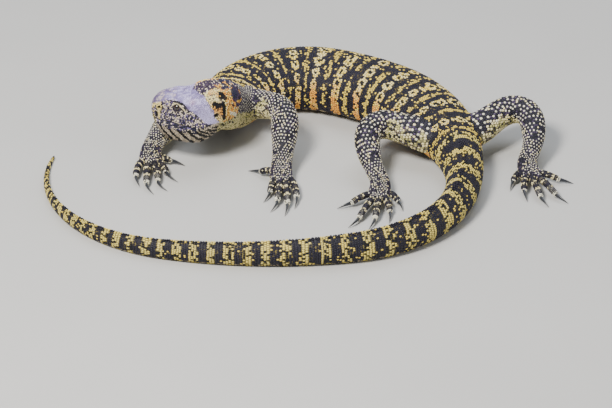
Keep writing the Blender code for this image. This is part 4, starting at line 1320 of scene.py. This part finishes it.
class Coat:
    """Rows of scales over the skin, each trimmed to its share of the room between its neighbours."""

    ROUNDS = ((0, 0.3, 14), (0.3, 0.8, 26), (0.8, 1.6, 40), (1.6, 2.8, 56), (2.8, 5, 76), (5, 8, 100),
              (8, 64, 128), (64, 452, 94), (452, 560, 60), (560, 720, 46), (720, 870, 34),
              (870, 1000, 24), (1000, 1085, 16), (1085, 1122, 9))
    CROWN = ((3, 7, 100), (7, 62, 168))
    SIDES = 8
    NEAR = 9
    REACH = {Hide.BODY: 9.0, Hide.LIMB: 9.0, Hide.DIGIT: 2.5, Hide.PALM: 1.0}
    HEAD_REACH = 0.9
    TALL = {Hide.LIMB: 0.5, Hide.DIGIT: 0.38, Hide.PALM: 0.42}
    SEARCH = 0.04
    BURIED = 2.2
    CROWDED = 0.54
    LABIAL_STEP = 1.75
    LABIAL_WIDTH = 1.35
    FOOT_DEPTH = 0.22
    FOOT_REACH = 0.97
    SHOULDER_RISE = 0.66
    SHOULDER_REACH = 0.80
    # A plate's colour is darkened at its foot, partly the dark hide at its edge and partly painted shade where scales
    # meet, and lightened at its top as a painted highlight.
    RIM_TONE = {True: 0.68, False: 0.34}
    TOP_TONE = 1.08
    TOP_BACK = 0.12
    MAP_REACH = 0.0015
    PITCH = ((0, 66, 140, 452, 600), (0.90, 0.95, 1.07, 1.07, 1.42))
    CLOSER = ((50, 57, 86, 96), (1.0, 0.66, 0.66, 1.0))
    LOOSE = ((0, 60, 80, 452, 480), (0.42, 0.42, 0.22, 0.22, 0.13))
    HEIGHT = ((0, 30, 66, 120, 452, 620), (0.30, 0.34, 0.46, 0.52, 0.52, 0.55))
    CREST = ((470, 700, 1125), (7.0, 11.0, 30.0))
    TIGHT = ((0, 56, 76, 452, 480), (1.22, 1.22, 1.10, 1.10, 1.06))

    def __init__(self, body: Body, limbs: list[Limb], skin: Skin, maker: Maker, markings: Markings) -> None:
        """Keeps the skin that the scales are set on."""
        self.body, self.limbs, self.skin, self.maker, self.markings = body, limbs, skin, maker, markings

    def settle(self, points: Array, along: Array, reach: float) -> tuple[Array, ...]:
        """Sets points on the finished skin.

        Args:
            points: places near the skin, in plan millimetres.
            along: lengthwise directions.
            reach: how far the skin may be.

        Returns:
            Points on the skin, directions along it, normals, and which points found it.
        """
        hits = [self.skin.tree.find_nearest(Vector(point)) for point in self.body.to_object(points)]
        place, normal = (np.array([hit[k][:] for hit in hits]) for k in (0, 1))
        along = unit(along - normal * np.sum(along * normal, -1, keepdims=True))
        return place / MM + self.body.origin, along, normal, np.array([hit[3] for hit in hits]) < reach * MM

    def inside(self, points: Array, tree: BVHTree) -> Array:
        """Which points lie buried inside a closed surface."""
        result = np.zeros(len(points), bool)
        for index, point in enumerate(self.body.to_object(points)):
            hit, face, *_ = tree.find_nearest(Vector(point), self.SEARCH)
            if hit is not None:
                result[index] = (Vector(point) - hit).dot(face) < -self.BURIED * MM
        return result

    def ring(self, s: float) -> tuple[Array, Array, float]:
        """Angles around the body at a place, the run of the ring up to each, and the slope of the skin there."""
        theta = np.linspace(0, 2 * np.pi, 361)
        ring = self.body.plain(np.full(361, s), theta)
        near = min(0.1, s * 0.4)
        ahead = self.body.plain(np.full(361, s + near), theta) - self.body.plain(np.full(361, s - near), theta)
        slope = max(float(np.linalg.norm(ahead, axis=1).mean()) / (2 * near), 1.0)
        return theta, run_of(ring), slope

    def body_rows(self, start: float, end: float, piece: int, crown: bool = False) -> Scales:
        """Staggered rows of scales around the body between two places.

        Each ring is shared into equal arcs; every scale is then moved a little at random, more on the head.

        Args:
            start: first place.
            end: last place.
            piece: number of the piece that they belong to.
            crown: only the fine scales on the crown of the head, or all but those.

        Returns:
            The scales, with their markings and their place on the unwrapped body.
        """
        rows = []
        number = 0
        for low, high, count in self.CROWN if crown else self.ROUNDS:
            s = low + 0.1
            while s < high:
                theta, run, stretch = self.ring(s)
                arc = run[-1] / count
                step = arc * float(np.interp(s, *self.PITCH))
                if start <= s < end:
                    at = (np.arange(count) + 0.5 * (number % 2)) * arc
                    cell = (s * 10, np.arange(count), 7)
                    loose = float(np.interp(s, *self.LOOSE))
                    at = at + (chances(21, *cell) - 0.5) * loose * 2 * arc
                    shift = (chances(22, *cell) - 0.5) * loose * 2 * step / stretch
                    dots = (number % 2 == 0) & ((np.arange(count) + number // 2) % 2 == 0)
                    rows.append((np.maximum(s + shift, 0.06), np.interp(np.mod(at, run[-1]), run, theta),
                                 np.full(count, step), np.full(count, arc), dots))
                s += step / stretch * float(np.interp(s, *self.CLOSER))
                number += 1
        s, theta, step, width, dots = (np.concatenate(column) for column in zip(*rows))
        own = self.markings.crown(s, folded(theta)[0]) == crown
        s, theta, step, width, dots = (values[own] for values in (s, theta, step, width, dots))
        if start == 0.0 and not crown:
            s, theta, step, width = self.labials(s, theta, step, width)
            dots = s < 0
        points, _ = self.body.skin(s, theta, SKIN_INSET)
        along = unit(self.body.skin(s + 0.5, theta, SKIN_INSET)[0] - points)
        reach = self.HEAD_REACH if end <= self.body.plan.head_end else self.REACH[Hide.BODY]
        place, along, normal, found = self.settle(points, along, reach)
        if end > 100 and start < 455:
            for tree in self.skin.limb_trees:
                found &= ~self.inside(points, tree)
        chance = chances(5, np.round(s * 10), np.round(theta * 1000), 7)
        fold, side = folded(theta)
        colour = self.markings.body_colour(s, fold, side, points, chance, dots)
        height = np.interp(s, *self.HEIGHT) * (0.40 if crown else 1.0) * (0.85 + 0.3 * chance)
        crest = (s > 470) & (np.abs(fold - 88.0) < np.interp(s, *self.CREST))
        height = np.where(crest, height * 2.6, height)
        uv = np.stack([0.02 + 0.96 * (s - start) / (end - start), 0.02 + 0.96 * theta / (2 * np.pi)], -1)
        tight = np.interp(s, *self.TIGHT) + 0.15 * crown
        scales = Scales(place, along, normal, step * 0.5, width * 0.5, height, colour, uv, tight,
                        np.full(len(s), piece))
        distance, _, _ = self.body.around_eye(place)
        found &= distance > self.body.plan.eye_radius * 1.06
        plan = self.body.plan
        for cup in (plan.nostril, plan.ear):
            girth = RADIAN * float(smooth_table(plan.sections, np.array(cup.place), 1)) * 1.2
            found &= np.hypot((s - cup.place) / cup.clear[0], (fold - cup.angle) * girth / cup.clear[1]) > 1
        return scales.keep(found)

    def labials(self, s: Array, theta: Array, step: Array, width: Array) -> tuple:
        """Clears the mouth line and sets a row of larger scales along each lip."""
        plan = self.body.plan
        fold, _ = folded(theta)
        girth = self.lip_girth(s)
        clear = (np.abs(fold - self.body.lip(s)) * girth > 1.65) | (s > plan.mouth_end)
        s, theta, step, width = (values[clear] for values in (s, theta, step, width))
        run = np.concatenate([[0.3, 0.55, 0.9, 1.35], np.arange(1.95, plan.mouth_end, self.LABIAL_STEP)])
        size = self.lip_girth(run)
        for side in (1, -1):
            for above in (1, -1):
                angle = np.radians(self.body.lip(run) + above * 0.92 / size)
                angle = np.mod(angle if side > 0 else np.pi - angle, 2 * np.pi)
                s, theta = np.concatenate([s, run]), np.concatenate([theta, angle])
                step = np.concatenate([step, np.full(len(run), self.LABIAL_STEP)])
                width = np.concatenate([width, np.full(len(run), self.LABIAL_WIDTH)])
        return s, theta, step, width

    def lip_girth(self, s: Array) -> Array:
        """Millimetres around the head for one degree at the lips."""
        return RADIAN * np.maximum(smooth_table(self.body.plan.sections, s, 1), 3.0) * 1.25

    def lids(self, piece: int) -> Scales:
        """Rings of small beads around each eye."""
        parts = []
        plan = self.body.plan
        for side in (1, -1):
            centre, normal = self.body.eyes[side]
            axes = Skin.axes(normal, self.body.frame_at(np.array(plan.eye_s))[1])
            for ring, (radius, count) in enumerate(((plan.eye_radius * 0.80, 28), (plan.eye_radius * 0.95, 30))):
                angle = circle(count) + ring * 0.1
                flat = np.stack([np.cos(angle), np.sin(angle)], -1) * radius
                points = centre + normal * (plan.eye_radius * 0.80) + flat @ axes[:2]
                along = np.stack([-np.sin(angle), np.cos(angle)], -1) @ axes[:2]
                place, along, out, found = self.settle(points, along, 3.0)
                size = radius * np.pi / count * np.ones(count)
                chance = chances(9, np.arange(count), ring, side)
                _, back, up = self.body.around_eye(place)
                over = np.abs(up - self.markings.curve(self.markings.LID_LINE, back))
                shade = self.markings.flat("black", points, ("mauve", 0.6 * chance),
                                           ("cream", ((over < 1.5) & (ring == 1)) * 0.95))
                uv = np.stack([0.4 + 0.02 * side + 0.01 * np.cos(angle), 0.5 + 0.02 * side + 0.01 * np.sin(angle)], -1)
                parts.append(Scales(place, along, out, size * 0.95, size * 0.85, size * 0.55, shade, uv,
                                    np.full(count, 1.1), np.full(count, piece)).keep(found))
            parts += [self.arc(side, table, name, piece)
                      for table, name in ((self.markings.LID_LINE, "cream"), (self.markings.BROW_LINE, "black"))]
        return Scales.together(parts)

    def arc(self, side: int, table: tuple, name: str, piece: int) -> Scales:
        """One row of larger scales along the upper lid or the brow.

        Args:
            side: 1 for the left eye, -1 for the right.
            table: the line's offsets backward and upward from the eye's axis.
            name: colour of the row.
            piece: number of the piece that the row belongs to.

        Returns:
            The scales of the row.
        """
        rim, back, up = self.body.eye_axes(side)
        rows = np.asarray(table, float)
        run = run_of(rows)
        at = np.arange(0.0, run[-1], 1.25)
        spot = read_path(at, run, rows)
        points = rim + spot[:, :1] * back + spot[:, 1:] * up + self.body.eyes[side][1] * 0.6
        along = np.gradient(points, axis=0)
        place, along, out, found = self.settle(points, along, 5.0)
        count = len(at)
        chance = chances(9, np.arange(count), 3, side)
        shade = self.markings.flat(name, points, ("shell" if name == "cream" else "mauve", 0.4 * chance))
        uv = np.stack([0.45 + 0.02 * side + 0.002 * spot[:, 0], 0.56 + 0.02 * side + 0.002 * spot[:, 1]], -1)
        size = np.full(count, 0.66)
        return Scales(place, along, out, size, size * 0.9, size * 0.75, shade, uv, np.full(count, 1.15),
                      np.full(count, piece)).keep(found)

    def tube_rows(self, tube: Tube, start: float, end: float, around: int, kind: Hide, limb: Limb, tile: tuple,
                  piece: int) -> Scales:
        """Staggered rows of scales around a limb or digit.

        Args:
            tube: the tube to cover.
            start: first place along it.
            end: last place along it.
            around: scales in a ring.
            kind: hide of the limb, of a digit or of the palm's ridges.
            limb: the limb it belongs to.
            tile: corner and size of its tile of the unwrap.
            piece: number of the piece that they belong to.

        Returns:
            The scales.
        """
        rows = []
        s, number = start, 0
        while s < end:
            width = float(tube.girth(np.array(s))) / around
            theta = (np.arange(around) + 0.5 * (number % 2)) / around * 2 * np.pi
            rows.append((np.full(around, s), theta, np.full(around, width), np.full(around, number),
                         np.arange(around)))
            s += width * 1.03
            number += 1
        s, theta, width, row, column = (np.concatenate(values) for values in zip(*rows))
        cell = (row, column, int(tube.points[0][0] * 7))
        chance = chances(13, *cell)
        s = s + (chances(14, *cell) - 0.5) * 0.34 * width
        theta = theta + (chances(15, *cell) - 0.5) * 0.34 * 2 * np.pi / around
        points, outward, along = tube.surface(s, theta, SKIN_INSET)
        place, along, normal, found = self.settle(points, along, self.REACH[kind])
        found &= np.sum(normal * outward, -1) > -0.2
        if kind is Hide.LIMB:
            found &= ~self.inside(points, self.skin.trunk_tree)
            for digit, _ in limb.digits:
                gap = np.linalg.norm(points[:, None] - digit.points[None, ::6], axis=-1).min(axis=1)
                found &= gap > limb.plan.radius * 0.86
        elif kind is Hide.PALM:
            found &= outward[:, 2] > 0.1
        else:
            main = limb.main
            gap = np.linalg.norm(points[:, None] - main.points[None, 300::4], axis=-1)
            near = gap.argmin(axis=1)
            size = np.minimum(main.wide[300::4][near], main.high[300::4][near])
            found &= gap.min(axis=1) > size * 0.9
        share = s / (limb.reach if kind is Hide.LIMB else tube.length)
        if kind is Hide.PALM:
            share = share * 0.0 + 1.2
        if kind is not Hide.DIGIT:
            colour = self.markings.limb_colour(share, normal[:, 2], points, chance, row, column)
        else:
            colour = self.markings.digit_colour(share, points, chance)
        u = tile[0] + tile[2] * (0.02 + 0.96 * (s - start) / max(end - start, 1e-6))
        v = tile[1] + tile[3] * (0.02 + 0.96 * theta / (2 * np.pi))
        height = self.TALL[kind] * (0.8 + 0.4 * chance)
        tight = np.where(colour.mean(axis=1) > 0.45, 1.16, 1.0)
        return Scales(place, along, normal, width * 0.52, width * 0.5, height * tight, colour, np.stack([u, v], -1),
                      tight, np.full(len(s), piece)).keep(found)

    def limb_scales(self, limb: Limb, piece: int) -> Scales:
        """All scales of one limb and its digits."""
        parts = [self.tube_rows(ridge, 1.5, ridge.length - 1.0, 13, Hide.PALM, limb,
                                (0.80 + 0.05 * number, 0.6, 0.05, 0.1), piece)
                 for number, ridge in enumerate(limb.ridges)]
        parts.append(self.tube_rows(limb.main, 0.05 * limb.reach, limb.main.length - 1.0, limb.plan.around, Hide.LIMB,
                                    limb, (0.0, 0.0, 1.0, 0.6), piece))
        parts += [self.tube_rows(digit, 0.5, digit.length - 0.4, 14, Hide.DIGIT, limb,
                                 (0.2 * number, 0.72, 0.2, 0.28), piece)
                  for number, (digit, _) in enumerate(limb.digits)]
        return Scales.together(parts)

    def trim(self, scales: Scales) -> tuple[Scales, Array]:
        """Thins crowded scales, then works out the outline of each.

        In every direction the outline ends about half way to the neighbour that comes first, or where the scale's
        own oval ends. Pale beads on the limbs take a little more than half. Neighbours are taken on the plane that
        touches the skin.

        Args:
            scales: all scales of the animal.

        Returns:
            The scales that stay and their outlines, as distances at even angles.
        """
        for _ in range(2):
            offsets, other = self.neighbours(scales)
            size = np.minimum(scales.half_length, scales.half_width)
            close = np.linalg.norm(offsets, axis=-1) < self.CROWDED * (size[:, None] + size[other])
            close &= other < np.arange(len(size))[:, None]
            kept = np.ones(len(size), bool)
            for own in np.flatnonzero(close.any(axis=1)):
                kept[own] = not kept[other[own][close[own]]].any()
            scales = scales.keep(kept)
        offsets, other = self.neighbours(scales)
        across = np.cross(scales.normal, scales.along)
        length = np.linalg.norm(offsets, axis=-1)
        flat = np.stack([np.einsum("nkc,nc->nk", offsets, scales.along), np.einsum("nkc,nc->nk", offsets, across)], -1)
        flat = unit(flat) * length[..., None]
        angle = self.corners()
        ray = np.stack([np.cos(angle), np.sin(angle)])
        toward = np.einsum("nkc,cd->nkd", flat, ray)
        part = scales.tight[:, None] / (scales.tight[:, None] + scales.tight[other])
        half = (part * length ** 2)[..., None] / np.maximum(toward, 1e-6)
        outline = np.where(toward > 1e-6, half, 99.0).min(axis=1)
        oval = np.hypot(ray[0] / scales.half_length[:, None], ray[1] / scales.half_width[:, None])
        return scales, np.minimum(outline, scales.tight[:, None] / oval)

    def corners(self) -> Array:
        """Angles of a scale's corners, in radians."""
        return np.arange(self.SIDES) / self.SIDES * 2 * np.pi + np.pi / self.SIDES

    def neighbours(self, scales: Scales) -> tuple[Array, Array]:
        """Offsets to the nearest scales around each one and their numbers."""
        tree = point_tree(scales.centre)
        other = np.array([[item[1] for item in tree.find_n(point, self.NEAR)] for point in scales.centre])
        offsets = scales.centre[other] - scales.centre[:, None]
        own = np.arange(len(other))[:, None]
        offsets = np.where((other == own)[..., None], 99.0, offsets)
        return offsets, other

    def plates(self, name: str, scales: Scales, outline: Array) -> Object:
        """Mesh of the scales: each a closed plate with a rounded top that leans back a little.

        Args:
            name: name of the piece.
            scales: the scales.
            outline: distance of each plate's edge at even angles.

        Returns:
            The piece, with its markings, darkened and lightened as painted shade and highlight, and its OFBake map.
        """
        count, sides = outline.shape
        angle = self.corners()
        across = np.cross(scales.normal, scales.along)
        vertices, shade_and_highlight, flats = [], [], []
        # Painted shade at each plate's foot and a painted highlight at its top, multiplied into the markings.
        foot = (self.FOOT_REACH, np.full(count, -self.FOOT_DEPTH), self.RIM_TONE["crown" in name])
        shoulder = (self.SHOULDER_REACH, scales.height * self.SHOULDER_RISE, 0.95)
        for reach, rise, tone in (foot, shoulder):
            x, y = outline * reach * np.cos(angle), outline * reach * np.sin(angle)
            vertices.append(scales.centre[:, None] + scales.along[:, None] * x[..., None]
                            + across[:, None] * y[..., None] + scales.normal[:, None] * rise[:, None, None])
            shade_and_highlight.append(np.full((count, sides), tone))
            flats.append(np.stack([np.cos(angle), np.sin(angle)], -1)[None] * reach * np.ones((count, 1, 1)))
        vertices.append((scales.centre + scales.normal * scales.height[:, None]
                         + scales.along * (scales.half_length * self.TOP_BACK)[:, None])[:, None])
        shade_and_highlight.append(np.full((count, 1), self.TOP_TONE))
        flats.append(np.zeros((count, 1, 2)))
        points = np.concatenate(vertices, axis=1)
        points[..., 2] = np.maximum(points[..., 2], 0.0)
        tone = np.concatenate(shade_and_highlight, axis=1)
        flat = np.concatenate(flats, axis=1)
        per = 2 * sides + 1
        i = np.arange(sides)
        k = (i + 1) % sides
        quads = np.stack([i, k, sides + k, sides + i], -1).ravel()
        fans = np.stack([sides + i, sides + k, np.full(sides, 2 * sides)], -1).ravel()
        pattern = np.concatenate([i[::-1], quads, fans])
        sizes = np.concatenate([[sides], np.full(sides, 4), np.full(sides, 3)])
        faces = (pattern[None] + np.arange(count)[:, None] * per).ravel()
        obj = self.maker.mesh(name, points.reshape(-1, 3), faces, np.tile(sizes, count))
        colour = scales.colour[:, None] * tone[..., None]
        self.maker.paint(obj, colour.reshape(-1, 3))
        layer = obj.data.uv_layers.new(name="OFBake")
        spread = (scales.uv[:, None] + flat * self.MAP_REACH).reshape(-1, 2)
        layer.data.foreach_set("uv", spread[faces].astype(np.float32).ravel())
        return obj


class Eye:
    """Eyeball with a slightly bulging cornea, coloured by the angle from its axis."""

    GOLD = (0.16, 0.075, 0.02)
    BROWN = (0.012, 0.008, 0.006)
    PUPIL = (0.003, 0.003, 0.004)
    PUPIL_EDGE = 24
    RING_EDGE = 29
    BULGE = 0.045

    def __init__(self, body: Body, maker: Maker) -> None:
        """Keeps the body, for the eye's place."""
        self.body, self.maker = body, maker

    def build(self, name: str, side: int) -> Object:
        """Sphere about the eye's axis; its front is drawn out a little, and its iris is painted by angle.

        Args:
            name: name of the piece.
            side: 1 for the left eye, -1 for the right.

        Returns:
            The eyeball.
        """
        plan = self.body.plan
        centre, normal = self.body.eyes[side]
        axes = Skin.axes(normal, self.body.frame_at(np.array(plan.eye_s))[1])
        p, t, local = sphere(49, 64)
        local = local * (plan.eye_radius * (1 + self.BULGE * bell(np.degrees(p), 0.0, 26.0)))[..., None]
        top = centre + normal * plan.eye_radius * (1 + self.BULGE)
        obj = self.maker.grid(name, local @ axes + centre, top, centre - normal * plan.eye_radius)
        angle = np.concatenate([np.degrees(p).ravel(), [0.0, 180.0]])
        streak = np.concatenate([(0.75 + 0.25 * np.sin(t * 37) * np.sin(t * 11)).ravel(), [1.0, 1.0]])
        gold = np.array(self.GOLD) * streak[:, None]
        ring = (angle > self.PUPIL_EDGE) & (angle < self.RING_EDGE)
        colour = np.where(ring[:, None], gold, np.array(self.BROWN))
        colour = np.where((angle < self.PUPIL_EDGE)[:, None], np.array(self.PUPIL), colour)
        self.maker.paint(obj, colour)
        return obj


class Claws:
    """Curved, narrow claws of one hand or foot."""

    RADIUS = 2.1
    ROOT_DEPTH = 1.2
    HOOK = (0.46, 0.19)
    DARK = (0.020, 0.022, 0.028)
    WORN = (0.085, 0.078, 0.070)

    def __init__(self, maker: Maker) -> None:
        """Keeps the maker of meshes."""
        self.maker = maker

    def claw(self, digit: Tube, tip: Array) -> tuple[Array, Array]:
        """Rings of one claw: an ellipse that narrows along a hooked curve, with a sharp under edge.

        Args:
            digit: the digit that it stands on.
            tip: point of the claw.

        Returns:
            The rings and the tones along them.
        """
        heading = unit(digit.points[-1] - digit.points[-4])
        root = digit.points[-1] - heading * self.ROOT_DEPTH
        reach = float(np.linalg.norm(tip - root))
        control = root + heading * reach * self.HOOK[0] + UP * (reach * self.HOOK[1])
        t = np.linspace(0, 0.985, 22)[:, None]
        path = bend(root, control, tip, t)
        thick = self.RADIUS * (1 - t[:, 0] ** 1.25) ** 0.8 * (1 + 0.10 * bell(t[:, 0], 0.1, 0.08))
        tangent = unit(np.gradient(path, axis=0))
        level = unit(np.cross(tangent, UP))
        upright = np.cross(level, tangent)
        theta = circle(18)
        narrow = 0.70 * (1 - 0.35 * np.clip(-np.sin(theta), 0, 1) ** 2)
        thick = np.maximum(thick, 0.10)
        rings = (path[:, None] + level[:, None] * (thick[:, None] * narrow * np.cos(theta))[..., None]
                 + upright[:, None] * (thick[:, None] * np.sin(theta))[..., None])
        rings[..., 2] = np.maximum(rings[..., 2], 0.1)
        return rings, t[:, 0]

    def build(self, limb: Limb) -> Object:
        """All five claws of a limb as one piece."""
        made = [self.claw(digit, tip) + (tip,) for digit, tip in limb.digits]
        parts = [self.maker.grid(f"claws_{limb.plan.name}_{i}", rings, rings[0].mean(axis=0), tip)
                 for i, (rings, _, tip) in enumerate(made)]
        dark, worn = np.array(self.DARK), np.array(self.WORN)
        for part, (rings, t, _) in zip(parts, made):
            tone = np.concatenate([np.repeat(t, rings.shape[1]), [0.0, 1.0]])[:, None]
            self.maker.paint(part, dark + (worn - dark) * np.clip((tone - 0.45) * 1.6, 0, 1))
        with bpy.context.temp_override(active_object=parts[0], selected_editable_objects=parts):
            bpy.ops.object.join()
        parts[0].name = f"claws_{limb.plan.name}"
        return parts[0]


@dataclass(frozen=True)
class Studio:
    """Pale floor, soft light and the camera at the photograph's angle."""

    frame_width: float = 0.612
    distance: float = 5.0
    depth: float = 0.042
    elevation: float = 30.0
    aim: tuple[float, float, float] = (306.0, -105.4, 0.0)

    def floor(self) -> Object:
        """Plain pale floor."""
        data = bpy.data.meshes.new("floor")
        size = 4.0
        data.from_pydata([(-size, -size, 0), (size, -size, 0), (size, size, 0), (-size, size, 0)], [], [(0, 1, 2, 3)])
        n = Nodes("floor_pale")
        tone = n.noise(6.0) * 0.04 + 0.50
        colour = n.add("ShaderNodeCombineColor", {}, {0: tone, 1: tone * 0.985, 2: tone * 0.955})
        data.materials.append(n.surface(Base_Color=colour, Roughness=0.85))
        return placed("floor", data)

    def light(self, name: str, place: tuple, size: float, power: float, colour: tuple) -> None:
        """Adds a soft square light that shines on the origin."""
        lamp = bpy.data.lights.new(name, "AREA")
        lamp.size, lamp.energy, lamp.color = size, power, colour
        obj = placed(name, lamp)
        obj.location = place
        obj.rotation_euler = (Vector((0, -0.05, 0)) - Vector(place)).to_track_quat("-Z", "Y").to_euler()

    def build(self, body: Body) -> Object:
        """Adds floor, lights, world and camera.

        Args:
            body: the body, for the place of its origin.

        Returns:
            The floor.
        """
        world = bpy.data.worlds.new("studio")
        world.use_nodes = True
        world.node_tree.nodes["Background"].inputs[0].default_value = (0.86, 0.92, 1.0, 1)
        world.node_tree.nodes["Background"].inputs[1].default_value = 0.36
        bpy.context.scene.world = world
        self.light("key", (-0.7, -1.1, 1.6), 0.5, 62.0, (1.0, 0.97, 0.92))
        self.light("sky", (0.3, 0.9, 1.9), 1.6, 26.0, (0.88, 0.93, 1.0))
        self.light("side", (1.7, -0.7, 0.9), 1.0, 8.0, (1.0, 0.98, 0.95))
        data = bpy.data.cameras.new("camera")
        data.sensor_width = 36.0
        data.lens = 36.0 * (self.distance + self.depth) / self.frame_width
        data.clip_end = 30.0
        camera = placed("camera", data)
        target = Vector(body.to_object(np.array(self.aim)))
        angle = math.radians(self.elevation)
        camera.location = target + Vector((0, -math.cos(angle), math.sin(angle))) * self.distance
        camera.rotation_euler = (target - camera.location).to_track_quat("-Z", "Y").to_euler()
        bpy.context.scene.camera = camera
        return self.floor()


class Monitor:
    """The whole animal, dressed and set on its bodies."""

    PIECES = (("scales_head", 0, 64), ("scales_neck", 64, 112), ("scales_trunk_front", 112, 205),
              ("scales_trunk_middle", 205, 330), ("scales_trunk_rear", 330, 456),
              ("scales_tail_front", 456, 725), ("scales_tail_rear", 725, 1122))

    def __init__(self) -> None:
        """Works out the surfaces."""
        self.body = Body(BodyPlan())
        self.limbs = [Limb(plan) for plan in LIMBS]
        self.maker = Maker(self.body)
        self.markings = Markings(self.body, Palette())

    def dress(self, piece: Object, material: bpy.types.Material) -> None:
        """Gives a piece its material and its body."""
        piece.data.materials.clear()
        piece.data.materials.append(material)
        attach(piece, "root")
        LOG.info("%s: %d faces", piece.name, len(piece.data.polygons))

    def build(self) -> None:
        """Builds skin, scales, eyes and claws in order."""
        skin_maker = Skin(self.body, self.limbs, self.maker, self.markings)
        skin = skin_maker.build()
        flesh = ["head", "neck", "torso_front", "torso_mid", "torso_rear"] + [f"tail_{i}" for i in range(1, 8)]
        flesh += [f"{part}_{limb.plan.name}" for limb in self.limbs for part in limb.plan.parts]
        self.dress(skin, HideFinish().build())
        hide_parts(*flesh)
        coat = Coat(self.body, self.limbs, skin_maker, self.maker, self.markings)
        head = ScaleFinish("scales_smooth", 0.44, 0.06, 0.25).build()
        plain = ScaleFinish("scales_beaded", 0.42, 0.08, 0.35).build()
        sets = [coat.lids(0)]
        sets += [coat.body_rows(start, end, piece) for piece, (_, start, end) in enumerate(self.PIECES)]
        sets.append(coat.body_rows(0.0, 64.0, len(self.PIECES), True))
        names = [name for name, _, _ in self.PIECES] + ["scales_crown"]
        for limb in self.limbs:
            sets.append(coat.limb_scales(limb, len(names)))
            names.append(f"scales_{limb.plan.name}")
        scales, outline = coat.trim(Scales.together(sets))
        for piece, name in enumerate(names):
            own = scales.piece == piece
            soft = name in ("scales_head", "scales_crown")
            self.dress(coat.plates(name, scales.keep(own), outline[own]), head if soft else plain)
        eyes, horn = EyeFinish().build(), ClawFinish().build()
        for name, side in (("eye_left", 1), ("eye_right", -1)):
            eye = Eye(self.body, self.maker).build("eyeball_" + name[4:], side)
            self.dress(eye, eyes)
            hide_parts(name)
        for limb in self.limbs:
            claws = Claws(self.maker).build(limb)
            self.dress(claws, horn)
            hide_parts(*(f"claw_{i}_{limb.plan.name}" for i in range(1, 6)))


def main() -> None:
    """Loads the frame, builds the animal and the studio."""
    logging.basicConfig(level=logging.INFO)
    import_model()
    monitor = Monitor()
    monitor.build()
    Studio().build(monitor.body)
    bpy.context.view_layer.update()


if __name__ == "__main__":
    main()
